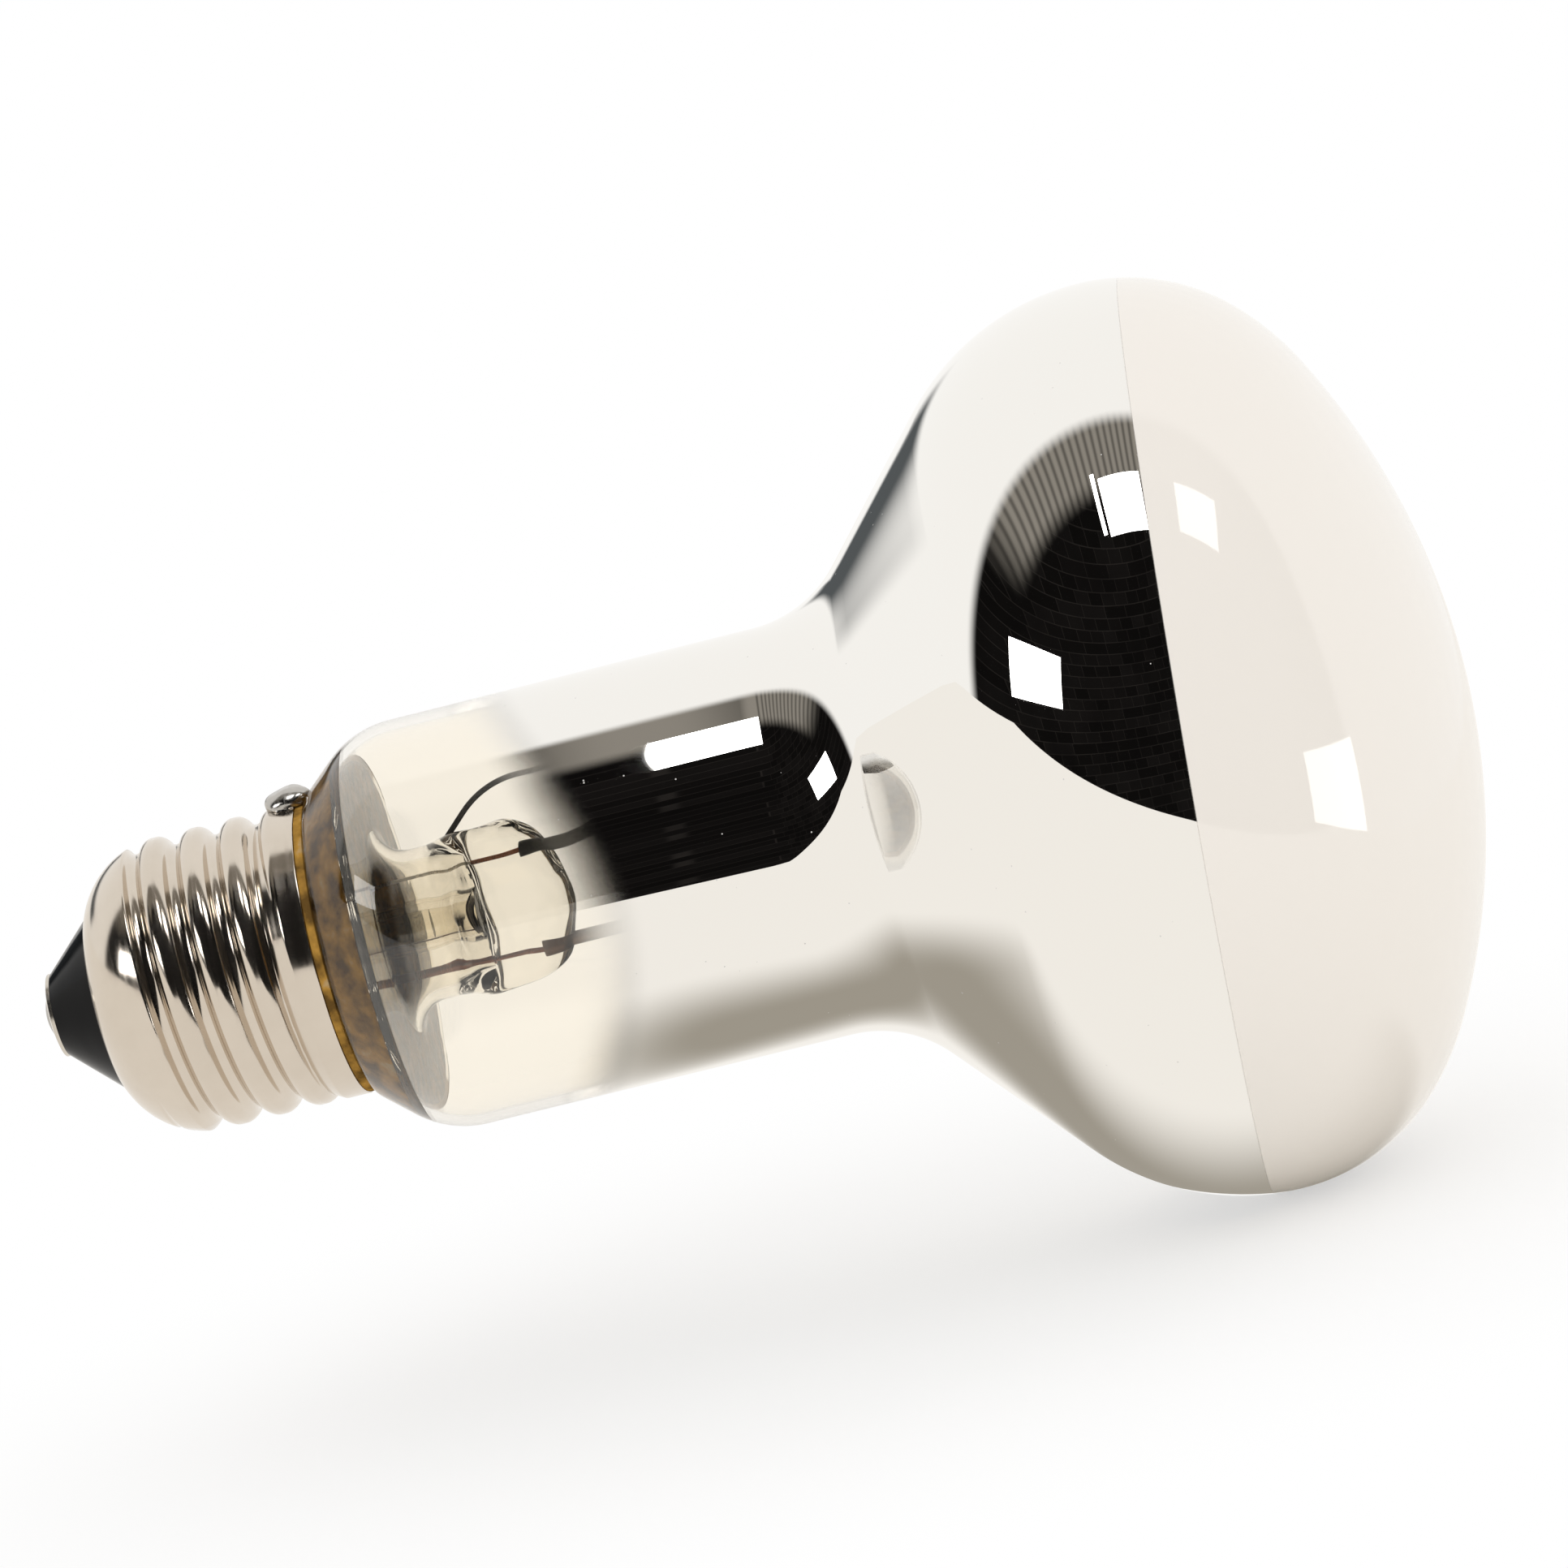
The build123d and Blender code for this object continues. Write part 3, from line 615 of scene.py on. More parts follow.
        # Blown glass is never quite round: shallow waves make its reflections wander
        for vertex in mesh.vertices:
            out = Vector((0.0, vertex.co.y, vertex.co.z))
            wave = noise.noise(vertex.co / (self.blow_wave * MM))
            if out.length > 0:
                vertex.co += out.normalized() * wave * self.blow_depth * MM
        place(mesh, finish.material(), "glass_envelope")


@dataclass
class Stem:
    """The flared glass tube that is pinched to a press, with the exhaust tube inside it. Sizes in mm.

    A section is a position, a half width, a half thickness and a power, which is 2 where the tube is
    round and more where its sides are flatter.
    """

    flare_x: float = 30.637
    wall: float = 1.0
    fillet: float = 3.0
    tube_r: float = 6.7
    pinch_x: float = 35.737
    press_x: float = 40.237
    press_half_width: float = 7.4
    press_half_thick: float = 2.5
    head_x: float = 42.55
    end_x: float = 47.537
    hollow_end_x: float = 39.537
    hollow_half_slot: float = 0.8
    hollow_half_width: float = 5.15
    fuse_depth: float = 0.1
    round_power: float = 2.0
    press_power: float = 3.4
    hollow_power: float = 3.0
    crown_power: int = 4
    fillet_steps: int = 10
    pinch_steps: int = 12
    head_steps: int = 18
    segments: int = 96
    exhaust_r: float = 2.3
    exhaust_bore_r: float = 1.3
    exhaust_tip_x: float = 15.0
    exhaust_gap: float = 0.36
    exhaust_segments: int = 48
    tip_steps: int = 10
    tip_bore_steps: int = 8
    press_wave: float = 3.2
    press_depth: float = 0.5
    press_seed: int = 3

    def ring(self, section: Section) -> list[Vector]:
        """Points of one section.

        Args:
            section: The section, which is wide along Z and thick along Y.
        Returns:
            Its points in metres.
        """
        x, half_width, half_thick, power = section
        points = []
        for i in range(self.segments):
            turn = math.tau * i / self.segments
            across, up = math.cos(turn), math.sin(turn)
            y = math.copysign(abs(across) ** (2 / power), across) * half_thick
            z = math.copysign(abs(up) ** (2 / power), up) * half_width
            points.append(Vector((x, y, z)) * MM)
        return points

    def flared(self, bulb: Bulb, seal_x: float, bend_r: float) -> list[Section]:
        """Sections of the flare, from the bulb's wall round the bend to the tube.

        Args:
            bulb: The bulb that the flare is fused to.
            seal_x: Position of the flare's face.
            bend_r: Radius of the bend on this face.
        Returns:
            The sections in order.
        """
        bend_c = (self.flare_x + self.wall + self.fillet, self.tube_r + self.fillet)
        seal = (seal_x, bulb.on_shoulder(seal_x, bulb.wall - self.fuse_depth))
        points = [seal] + arc_points(bend_c, bend_r, 180, 270, self.fillet_steps)
        return [(x, r, r, self.round_power) for x, r in points]

    def pinched(self, start_r: float, end: Section, count: int) -> list[Section]:
        """Sections of the tube where it is pinched flat.

        Args:
            start_r: Radius of the round tube.
            end: The flat section that the pinch leads to.
            count: Sections to give, of those that the pinch's steps make.
        Returns:
            The sections in order.
        """
        start = (self.pinch_x, start_r, start_r, self.round_power)
        sections = []
        for i in range(count):
            share = i / self.pinch_steps
            ease = share * share * (3 - 2 * share)
            shares = (share, ease, ease, ease)
            sections.append(tuple(a + (b - a) * s for a, b, s in zip(start, end, shares)))
        return sections

    def skins(self, bulb: Bulb) -> list[list[list[Vector]]]:
        """Outside and hollow of the stem as rings of points.

        Args:
            bulb: The bulb that the flare is fused to.
        Returns:
            The rings of each skin, from the seal to the pole at its end.
        """
        press = (self.press_x, self.press_half_width, self.press_half_thick, self.press_power)
        outer = self.flared(bulb, self.flare_x + self.wall, self.fillet)
        outer += self.pinched(self.tube_r, press, self.pinch_steps + 1)
        for i in range(self.head_steps):
            turn = math.pi / 2 * i / self.head_steps
            rise = math.sin(turn)
            x = self.head_x + (self.end_x - self.head_x) * rise
            thick = self.press_half_thick * math.sqrt(1 - rise**self.crown_power)
            power = self.press_power + (self.round_power - self.press_power) * rise
            outer.append((x, self.press_half_width * math.cos(turn), thick, power))
        slot = (self.hollow_end_x, self.hollow_half_width, self.hollow_half_slot, self.hollow_power)
        inner = self.flared(bulb, self.flare_x, self.fillet + self.wall)
        inner += self.pinched(self.tube_r - self.wall, slot, self.pinch_steps)
        skins = []
        for sections, pole_x in ((outer, self.end_x), (inner, self.hollow_end_x)):
            skins.append([self.ring(section) for section in sections] + [[Vector((pole_x, 0, 0)) * MM]])
        return skins

    def build(self, bulb: Bulb, finish: ClearGlass) -> None:
        """Make the stem and the exhaust tube.

        Args:
            bulb: The bulb that the flare is fused to.
            finish: Their glass.
        """
        glass = finish.material()
        shape = bmesh.new()
        outer, inner = ([[shape.verts.new(p) for p in ring] for ring in skin] for skin in self.skins(bulb))
        pairs = list(zip(outer, outer[1:])) + list(zip(inner, inner[1:]))
        bridge_rings(shape, pairs + [(outer[0], inner[0])])
        # The hot glass was squeezed between jaws, which left it uneven
        noise.seed_set(self.press_seed)
        for vertex in shape.verts:
            share = min(max((vertex.co.x / MM - self.pinch_x) / self.press_wave, 0.0), 1.0)
            dent = noise.noise_vector(vertex.co / (self.press_wave * MM))
            vertex.co += dent * share * self.press_depth * MM
        stem = finished_mesh(shape, "stem")
        stem.set_sharp_from_angle(angle=GLASS_EDGE)
        place(stem, glass, "glass_stem")
        tip_c = (self.exhaust_tip_x + self.exhaust_r, 0.0)
        open_x = self.hollow_end_x - self.exhaust_gap
        profile = arc_points(tip_c, self.exhaust_r, 180, 90, self.tip_steps)
        profile += [(open_x, self.exhaust_r), (open_x, self.exhaust_bore_r)]
        profile += arc_points(tip_c, self.exhaust_bore_r, 90, 180, self.tip_bore_steps)
        for pole in (0, -1):
            profile[pole] = (profile[pole][0], 0.0)
        pipe = turned_mesh("exhaust_pipe", profile, self.exhaust_segments)
        pipe.set_sharp_from_angle(angle=GLASS_EDGE)
        place(pipe, glass, "exhaust_tube")


@dataclass
class ScrewCap:
    """The rolled shell, the cement that holds the glass in it, and the solder on its rim. Sizes in mm."""

    length: float = 26.15
    radius: float = 13.05
    wall: float = 0.4
    end_x: float = 5.75
    end_r: float = 8.1
    curl_x: float = 13.0
    pitch: float = 3.629
    thread_depth: float = 1.05
    land: float = 0.1
    crest_flat: float = 0.02
    root_r: float = 0.7
    first_x: float = 7.59
    fade_from: float = 21.55
    fade_to: float = 24.15
    seam_weld: float = 0.001
    rows: int = 230
    segments: int = 200
    cement_lining: float = 1.0
    cement_segments: int = 96
    cement_edge: float = 30.0
    bead_inset: float = 0.1
    film_gap: float = 0.05
    wet_depth: float = 0.1
    solder_inset: float = 0.6
    solder_r: float = 2.25
    solder_height: float = 1.6
    solder_segments: int = 48
    solder_rings: int = 32
    lump_share: float = 0.14
    lump_count: float = 1.3
    lump_start: Triple = (3.1, 0.4, 7.7)

    def thread_sizes(self) -> dict[str, float]:
        """Sizes of the shell and of its thread.

        Returns:
            The sizes by the names of the tree's inputs.
        """
        half = (self.pitch - self.land) / 2
        depth = self.thread_depth + self.crest_flat
        turn = 2 * math.atan(depth / half)
        rise = self.radius - self.end_r
        curl_r = ((self.curl_x - self.end_x) ** 2 + rise**2) / (2 * rise)
        fade_low = self.radius - self.thread_depth - self.wall
        return {
            "Length": self.length,
            "Cap Radius": self.radius,
            "End Position": self.end_x,
            "Curl Start": self.curl_x,
            "Curl Radius": curl_r,
            "Pitch": self.pitch,
            "First Groove": self.first_x,
            "Groove Depth": depth,
            "Half Groove": half,
            "Crest Flat": self.crest_flat,
            "Root Radius": self.root_r,
            "Root Reach": self.root_r * math.sin(turn),
            "Crest Radius": half / math.sin(turn) - self.root_r,
            "Fade Start": self.fade_from,
            "Fade Radius": fade_low,
            "Fade Slope": (self.radius - fade_low) / (self.fade_to - self.fade_from),
        }

    def rolled_tree(self, material: Material) -> Tree:
        """Geometry Nodes tree of the rolled sheet: a grid that is wrapped round the axis and grooved.

        Args:
            material: What the shell is made of.
        Returns:
            The tree, with the sizes as named inputs.
        """
        tree = bpy.data.node_groups.new("rolled_thread", "GeometryNodeTree")
        tree.interface.new_socket("Geometry", in_out="OUTPUT", socket_type="NodeSocketGeometry")
        for name, value in self.thread_sizes().items():
            socket = tree.interface.new_socket(name, in_out="INPUT", socket_type="NodeSocketFloat")
            socket.default_value = value
        sizes = add_node(tree, "NodeGroupInput").outputs
        grid = {"Size X": 1.0, "Size Y": 1.0, "Vertices X": self.rows, "Vertices Y": self.segments + 1}
        sheet = add_node(tree, "GeometryNodeMeshGrid", grid).outputs["Mesh"]
        flat = add_node(tree, "GeometryNodeInputPosition").outputs[0]
        axes = add_node(tree, "ShaderNodeSeparateXYZ", {0: flat}).outputs
        known = {name: sizes[name] for name in self.thread_sizes()} | {"u": axes["X"], "v": axes["Y"]}
        steps = (
            ("along", "ADD", "u", 0.5),
            ("span", "SUBTRACT", "Length", "End Position"),
            ("x", "MULTIPLY_ADD", "along", "span", "End Position"),
            ("turn", "ADD", "v", 0.5),
            ("angle", "MULTIPLY", "turn", math.tau),
            # Distance from the nearest groove's middle
            ("run", "SUBTRACT", "x", "First Groove"),
            ("pitches", "DIVIDE", "run", "Pitch"),
            ("phase", "SUBTRACT", "pitches", "turn"),
            ("nearest", "ROUND", "phase"),
            ("off", "SUBTRACT", "phase", "nearest"),
            ("off_size", "ABSOLUTE", "off"),
            ("d", "MULTIPLY", "off_size", "Pitch"),
            # Root of the groove: a concave arc
            ("root_sq", "MULTIPLY", "Root Radius", "Root Radius"),
            ("d_sq", "MULTIPLY", "d", "d"),
            ("root_left", "SUBTRACT", "root_sq", "d_sq"),
            ("root_safe", "MAXIMUM", "root_left", 0.0),
            ("root_rise", "SQRT", "root_safe"),
            ("root_drop", "SUBTRACT", "Root Radius", "root_rise"),
            ("deep", "SUBTRACT", "Groove Depth", "root_drop"),
            # Shoulder of the groove: a convex arc up to the crest
            ("to_crest", "SUBTRACT", "Half Groove", "d"),
            ("to_crest_up", "MAXIMUM", "to_crest", 0.0),
            ("crest_sq", "MULTIPLY", "Crest Radius", "Crest Radius"),
            ("side_sq", "MULTIPLY", "to_crest_up", "to_crest_up"),
            ("crest_left", "SUBTRACT", "crest_sq", "side_sq"),
            ("crest_safe", "MAXIMUM", "crest_left", 0.0),
            ("crest_rise", "SQRT", "crest_safe"),
            ("shallow", "SUBTRACT", "Crest Radius", "crest_rise"),
            ("in_root", "LESS_THAN", "d", "Root Reach"),
            ("more", "SUBTRACT", "deep", "shallow"),
            ("groove", "MULTIPLY_ADD", "in_root", "more", "shallow"),
            ("crest_top", "ADD", "Cap Radius", "Crest Flat"),
            ("grooved", "SUBTRACT", "crest_top", "groove"),
            # Run-out of the thread towards the plain skirt
            ("fade_run", "SUBTRACT", "x", "Fade Start"),
            ("fade_rise", "MULTIPLY_ADD", "fade_run", "Fade Slope", "Fade Radius"),
            ("faded", "MAXIMUM", "grooved", "fade_rise"),
            # Rounded end of the shell
            ("curl_run", "SUBTRACT", "Curl Start", "x"),
            ("curl_up", "MAXIMUM", "curl_run", 0.0),
            ("curl_sq", "MULTIPLY", "Curl Radius", "Curl Radius"),
            ("curl_up_sq", "MULTIPLY", "curl_up", "curl_up"),
            ("curl_left", "SUBTRACT", "curl_sq", "curl_up_sq"),
            ("curl_rise", "SQRT", "curl_left"),
            ("curl_low", "SUBTRACT", "Cap Radius", "Curl Radius"),
            ("plain", "ADD", "curl_low", "curl_rise"),
            ("r", "MINIMUM", "plain", "faded"),
            ("sine", "SINE", "angle"),
            ("cosine", "COSINE", "angle"),
            ("towards", "MULTIPLY", "r", -1.0),
            ("y", "MULTIPLY", "towards", "sine"),
            ("z", "MULTIPLY", "r", "cosine"),
        )
        value = work_out(tree, known, steps)
        spot = {0: value["x"], 1: value["y"], 2: value["z"]}
        in_mm = add_node(tree, "ShaderNodeCombineXYZ", spot).outputs[0]
        in_m = add_node(tree, "ShaderNodeVectorMath", {0: in_mm, "Scale": MM}, operation="SCALE").outputs[0]
        # Each of these takes the geometry of the one before
        for kind, inputs in (
            ("GeometryNodeSetPosition", {"Position": in_m}),
            ("GeometryNodeMergeByDistance", {"Distance": self.seam_weld * MM}),
            ("GeometryNodeSetShadeSmooth", {}),
            ("GeometryNodeRealizeInstances", {}),
            ("GeometryNodeSetMaterial", {"Material": material}),
        ):
            sheet = add_node(tree, kind, {"Geometry": sheet} | inputs).outputs[0]
        add_node(tree, "NodeGroupOutput", {"Geometry": sheet})
        return tree

    def build_shell(self, finish: RolledMetal) -> None:
        """Make the threaded shell.

        Args:
            finish: Its metal.
        """
        metal = finish.material()
        tree = self.rolled_tree(metal)
        maker = bpy.data.objects.new("shell_maker", bpy.data.meshes.new("shell_maker"))
        bpy.context.scene.collection.objects.link(maker)
        rolling = maker.modifiers.new("rolling", "NODES")
        rolling.node_group = tree
        for item in tree.interface.items_tree:
            if item.in_out == "INPUT":
                rolling[item.identifier] = self.thread_sizes()[item.name]
        sheet = maker.modifiers.new("sheet", "SOLIDIFY")
        sheet.thickness = self.wall * MM
        sheet.offset = 1.0
        bpy.context.view_layer.update()
        graph = bpy.context.evaluated_depsgraph_get()
        mesh = bpy.data.meshes.new_from_object(maker.evaluated_get(graph), depsgraph=graph)
        bpy.data.objects.remove(maker)
        mesh.name = "threaded_shell"
        place(mesh, metal, "cap_shell")

    def build_cement(self, bulb: Bulb, flare_x: float, finish: BakedCement) -> None:
        """Make the cement round the lip of the glass, from inside the shell up to the flare.

        Args:
            bulb: The bulb whose lip it holds.
            flare_x: Position of the stem's flare.
            finish: The cement's look.
        """
        lip = math.radians(bulb.lip_angle)
        along = Vector((math.cos(lip), math.sin(lip)))
        inward = Vector((math.sin(lip), -math.cos(lip)))
        lip_end = Vector((bulb.lip_at(bulb.lip_end_r), bulb.lip_end_r)) + along * self.wet_depth
        # The cement wets the glass, so its face lies a hair inside the wall and no air shows between them
        depth = bulb.wall - self.wet_depth
        shoulder = math.radians(bulb.shoulder_angle)
        cone_inward = Vector((math.sin(shoulder), -math.cos(shoulder)))
        corner = Vector((bulb.lip_x, bulb.on_shoulder(bulb.lip_x)))
        corner += (inward + cone_inward) * depth / (1 + inward.dot(cone_inward))
        bore_r = bulb.lip_end_r - self.cement_lining
        inner_r = self.radius - self.wall - self.film_gap
        bead_r = self.radius - self.bead_inset
        top_x = flare_x + self.wet_depth
        profile = [
            (self.fade_to, bore_r),
            (self.fade_to, inner_r),
            (self.length, inner_r),
            (self.length + self.film_gap, bead_r),
            (bulb.lip_at(bead_r) + self.wet_depth, bead_r),
            tuple(lip_end + inward * self.wet_depth),
            tuple(lip_end + inward * depth),
            tuple(corner),
            (top_x, bulb.on_shoulder(top_x, depth)),
            (top_x, bore_r),
        ]
        mesh = turned_mesh("cement", profile, self.cement_segments, closed=True)
        mesh.set_sharp_from_angle(angle=math.radians(self.cement_edge))
        place(mesh, finish.material(), "capping_cement")

    def build_rim_solder(self, finish: RolledMetal) -> None:
        """Make the lumpy blob of solder on the rim.

        Args:
            finish: The solder's look.
        """
        shape = bmesh.new()
        counts = {"u_segments": self.solder_segments, "v_segments": self.solder_rings}
        bmesh.ops.create_uvsphere(shape, radius=1.0, **counts)
        seat_r = (self.radius + self.film_gap / 2) * MM
        middle = Vector((self.length - self.solder_inset, 0.0, self.radius)) * MM
        size = Vector((self.solder_r, self.solder_r, self.solder_height)) * MM
        for vertex in shape.verts:
            lump = 1 + self.lump_share * noise.noise(vertex.co * self.lump_count + Vector(self.lump_start))
            spot = middle + Vector((a * b for a, b in zip(vertex.co * lump, size)))
            around = Vector((0.0, spot.y, spot.z))
            if around.length < seat_r:
                spot += around.normalized() * (seat_r - around.length)
            vertex.co = spot
        place(finished_mesh(shape, "rim_solder_blob"), finish.material(), "rim_solder")


@dataclass(frozen=True)
class KeptSolids:
    """CAD nodes that keep their own shapes. Each row is a finish and the nodes that get it."""

    rows: tuple[tuple, ...]

    def dress(self) -> None:
        """Give each node its material."""
        for finish, *nodes in self.rows:
            material = finish.material()
            for node in nodes:
                for place_in_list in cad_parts[node].material_slots:
                    place_in_list.material = material
                LOG.info("%s keeps its solid, in %s", node, material.name)


COPPER = RolledMetal("copper_clad_wire", "8C5638", "54372A", 0.3)
OXIDE = RolledMetal("oxidised_wire", "1A1815", "0F0E0C", 0.45, bare=0.0)
NICKEL = RolledMetal("drawn_nickel", "C9C4BC", "B5B0A8", 0.25)
TUNGSTEN = RolledMetal("drawn_tungsten", "8C8C8E", "6E6E70", 0.35)
MOLYBDENUM = RolledMetal("molybdenum", "AFACA8", "94918D", 0.3)
CAP_END = KeptSolids(
    (
        (BlackGlass(), "cap_insulator"),
        (RolledMetal("nickel_plated_contact", "D8D2C8", "C8C0B4", 0.2), "centre_contact"),
        (RolledMetal("soft_solder", "B9B6B1", "98948F", 0.24), "tip_solder"),
    )
)
LEADS = KeptSolids(
    (
        (COPPER, "outer_lead_centre", "seal_wire_upper", "seal_wire_lower"),
        (RolledMetal("tinned_wire", "D6D2CA", "BDB8B0", 0.3), "outer_lead_rim"),
        (OXIDE, "inner_lead_upper", "support_wire"),
        (RolledMetal("browned_wire", "7A5F4A", "5B4637", 0.4), "inner_lead_lower"),
    )
)
BURNER = KeptSolids(
    (
        (NICKEL, "frame_wire", "front_strap", "rear_strap"),
        (ClearGlass("fused_quartz", "FBFBFA", 1.46), "arc_tube"),
        (TUNGSTEN, "front_electrode", "rear_electrode", "starting_probe", "ballast_filament"),
        (MOLYBDENUM, "front_foil", "rear_foil", "front_pinch_lead", "rear_pinch_lead"),
        (GlazedCeramic(), "starting_resistor"),
    )
)


@dataclass(frozen=True)
class LightCard:
    """A bright card that only shiny surfaces see. Lengths in mm.

    It hangs at a distance from a spot on the lamp, in a direction, and its width lies along a vector.
    """

    name: str
    spot: Triple
    way: Triple
    along: Triple
    width: float
    height: float
    distance: float = 1000.0

    def corners(self) -> list[Vector]:
        """Corners of the card.

        Returns:
            The four corners in order, in metres.
        """
        way = Vector(self.way).normalized()
        middle = Vector(self.spot) + way * self.distance
        across = Vector(self.along)
        across = (across - way * across.dot(way)).normalized() * self.width / 2
        up = way.cross(across).normalized() * self.height / 2
        return [(middle + across * i + up * j) * MM for i, j in SQUARE]


# Where the white sweep behind the table starts and where it is full, as a direction's share of Y
BEHIND: Limit = ("y", 0.03, 0.13)


@dataclass
class Studio:
    """Floor, light, cards that the mirror shows, and the camera. Lengths in mm, angles in degrees.

    A backdrop is a colour and its limits: a value of the direction, where it starts and where it is full.
    """

    floor_z: float = -40.0
    floor_half: float = 4000.0
    shadow_full: float = 40.0
    shadow_end: float = 110.0
    shadow_lift: float = 0.55
    board_slope: float = -0.299
    board_z: float = -8.6
    board_shade_x: float = 92.0
    board_shade_half: float = 34.0
    board_shade_y: float = -8.0
    board_shade_from: float = 3.0
    board_shade_to: float = 20.0
    board_left: float = -480.0
    board_front: float = -205.0
    board_far: float = 900.0
    card_strength: float = 6.0
    camera_distance: float = 620.0
    camera_azimuth: float = 5.54
    camera_elevation: float = 7.0
    camera_roll: float = 14.59
    focal_px: float = 8835.0
    aim_x: float = 66.55
    aim_up: float = 4.5
    slat_waves: float = 150.0
    rise_by_x: float = 0.286
    rise_by_z: float = 0.958
    dim_from: float = -0.1
    dim_full: float = -0.5
    backdrops: tuple[tuple[str, tuple[Limit, ...]], ...] = (
        # Pale slats under the ceiling
        ("8F8A82", (("y", -0.34, -0.2), ("z", 0.6, 0.8), ("slat", -2.6, 1.0))),
        # The white sweep
        ("FEFDFB", (BEHIND,)),
        # A grey band low behind the table, to the left
        (
            "54585A",
            (BEHIND, ("rise", 0.0, 0.03), ("rise", 0.15, 0.08), ("x", -0.2, -0.32), ("x", -0.76, -0.66)),
        ),
    )
    cards: tuple[LightCard, ...] = (
        LightCard("neck_card", (61.75, -14.2, 11.1), (-0.107, -0.35, 0.93), (1.0, 0.0, 0.0), 24.0, 310.0),
        LightCard(
            "bell_card_high", (103.25, -32.0, 23.7), (0.03, -0.365, 0.93), (1.0, 0.0, 0.0), 300.0, 300.0
        ),
        LightCard(
            "bell_card_low", (93.25, -35.5, 12.5), (-0.79, -0.45, 0.39), (-0.5, 0.87, 0.0), 430.0, 210.0
        ),
        LightCard(
            "face_card_high", (108.75, -32.3, 21.3), (0.54, -0.31, 0.77), (0.25, 0.06, -0.15), 300.0, 245.0
        ),
        LightCard(
            "face_card_low", (114.25, -35.2, -2.2), (0.95, -0.15, -0.21), (0.1, 0.57, -0.02), 69.0, 34.0,
            distance=115.0,
        ),
    )

    def build_world(self) -> None:
        """Light the lamp from all round, and give mirrors a dark room in front of a white sweep."""
        world = bpy.data.worlds.new("studio")
        bpy.context.scene.world = world
        world.use_nodes = True
        tree = world.node_tree
        tree.nodes.clear()
        way = add_node(tree, "ShaderNodeTexCoord").outputs["Generated"]
        axes = add_node(tree, "ShaderNodeSeparateXYZ", {0: way}).outputs
        bricks = {
            "Vector": add_node(tree, "ShaderNodeCombineXYZ", {0: axes["X"], 1: axes["Z"]}).outputs[0],
            "Color1": linear("100F0E"),
            "Color2": linear("1F1D1C"),
            "Mortar": linear("302D2B"),
            "Scale": 6.0,
            "Mortar Size": 0.012,
            "Mortar Smooth": 0.6,
            "Bias": -0.3,
        }
        courses = {"offset": 0.37, "squash": 1.7, "squash_frequency": 3}
        shelves = add_node(tree, "ShaderNodeTexBrick", bricks, **courses).outputs["Color"]
        things = {"Vector": way, "Scale": 5.0, "Detail": 3.0}
        clutter = add_node(tree, "ShaderNodeTexNoise", things).outputs[0]
        path = add_node(tree, "ShaderNodeLightPath").outputs
        value = {"x": axes["X"], "y": axes["Y"], "z": axes["Z"], "shelves": shelves, "clutter": clutter}
        value |= {"glossy": path["Is Glossy Ray"], "through": path["Is Transmission Ray"]}
        steps = (
            ("lean", "MULTIPLY", "x", self.rise_by_x),
            ("rise", "MULTIPLY_ADD", "z", self.rise_by_z, "lean"),
            ("waves", "MULTIPLY", "x", self.slat_waves),
            ("slat", "SINE", "waves"),
            ("room", "RGBA", "clutter", linear("0C0B0B"), "shelves"),
        )
        value = work_out(tree, value, steps)
        for code, limits in self.backdrops:
            value["share"] = 1.0
            for name, start, full in limits:
                steps = (("edge", "SMOOTHSTEP", name, start, full), ("share", "MULTIPLY", "share", "edge"))
                value = work_out(tree, value, steps)
            value = work_out(tree, value, (("room", "RGBA", "share", "room", linear(code)),))
        # A ray that goes through glass counts as glossy too, so only true reflections see the room.
        # One that leaves the glass towards the room finds it dim.
        steps = (
            ("only", "SUBTRACT", "glossy", "through"),
            ("mirrored", "MAXIMUM", "only", 0.0),
            ("before", "SMOOTHSTEP", "y", self.dim_from, self.dim_full),
            ("dim", "MULTIPLY", "through", "before"),
            ("dimmed", "RGBA", "dim", WHITE, linear("95928C")),
            ("seen", "RGBA", "mirrored", "dimmed", "room"),
        )
        seen = work_out(tree, value, steps)["seen"]
        light = add_node(tree, "ShaderNodeBackground", {"Color": seen, "Strength": 1.0})
        add_node(tree, "ShaderNodeOutputWorld", {"Surface": light.outputs[0]})

    def stage_sheet(self, name: str, corners: list, material: Material) -> bpy.types.Object:
        """Put a flat sheet on the stage.

        Args:
            name: The sheet's name.
            corners: Its four corners in metres.
            material: Its material.
        Returns:
            The sheet.
        """
        mesh = bpy.data.meshes.new(name)
        mesh.from_pydata(corners, [], [(0, 1, 2, 3)])
        mesh.materials.append(material)
        sheet = bpy.data.objects.new(name, mesh)
        bpy.context.scene.collection.objects.link(sheet)
        return sheet

    def only_for_gloss(self, sheet: bpy.types.Object) -> None:
        """Let only shiny surfaces see a sheet.

        Args:
            sheet: The sheet.
        """
        sheet.visible_camera = False
        sheet.visible_diffuse = False
        sheet.visible_transmission = False
        sheet.visible_shadow = False
        sheet.data.materials[0].cycles.emission_sampling = "NONE"

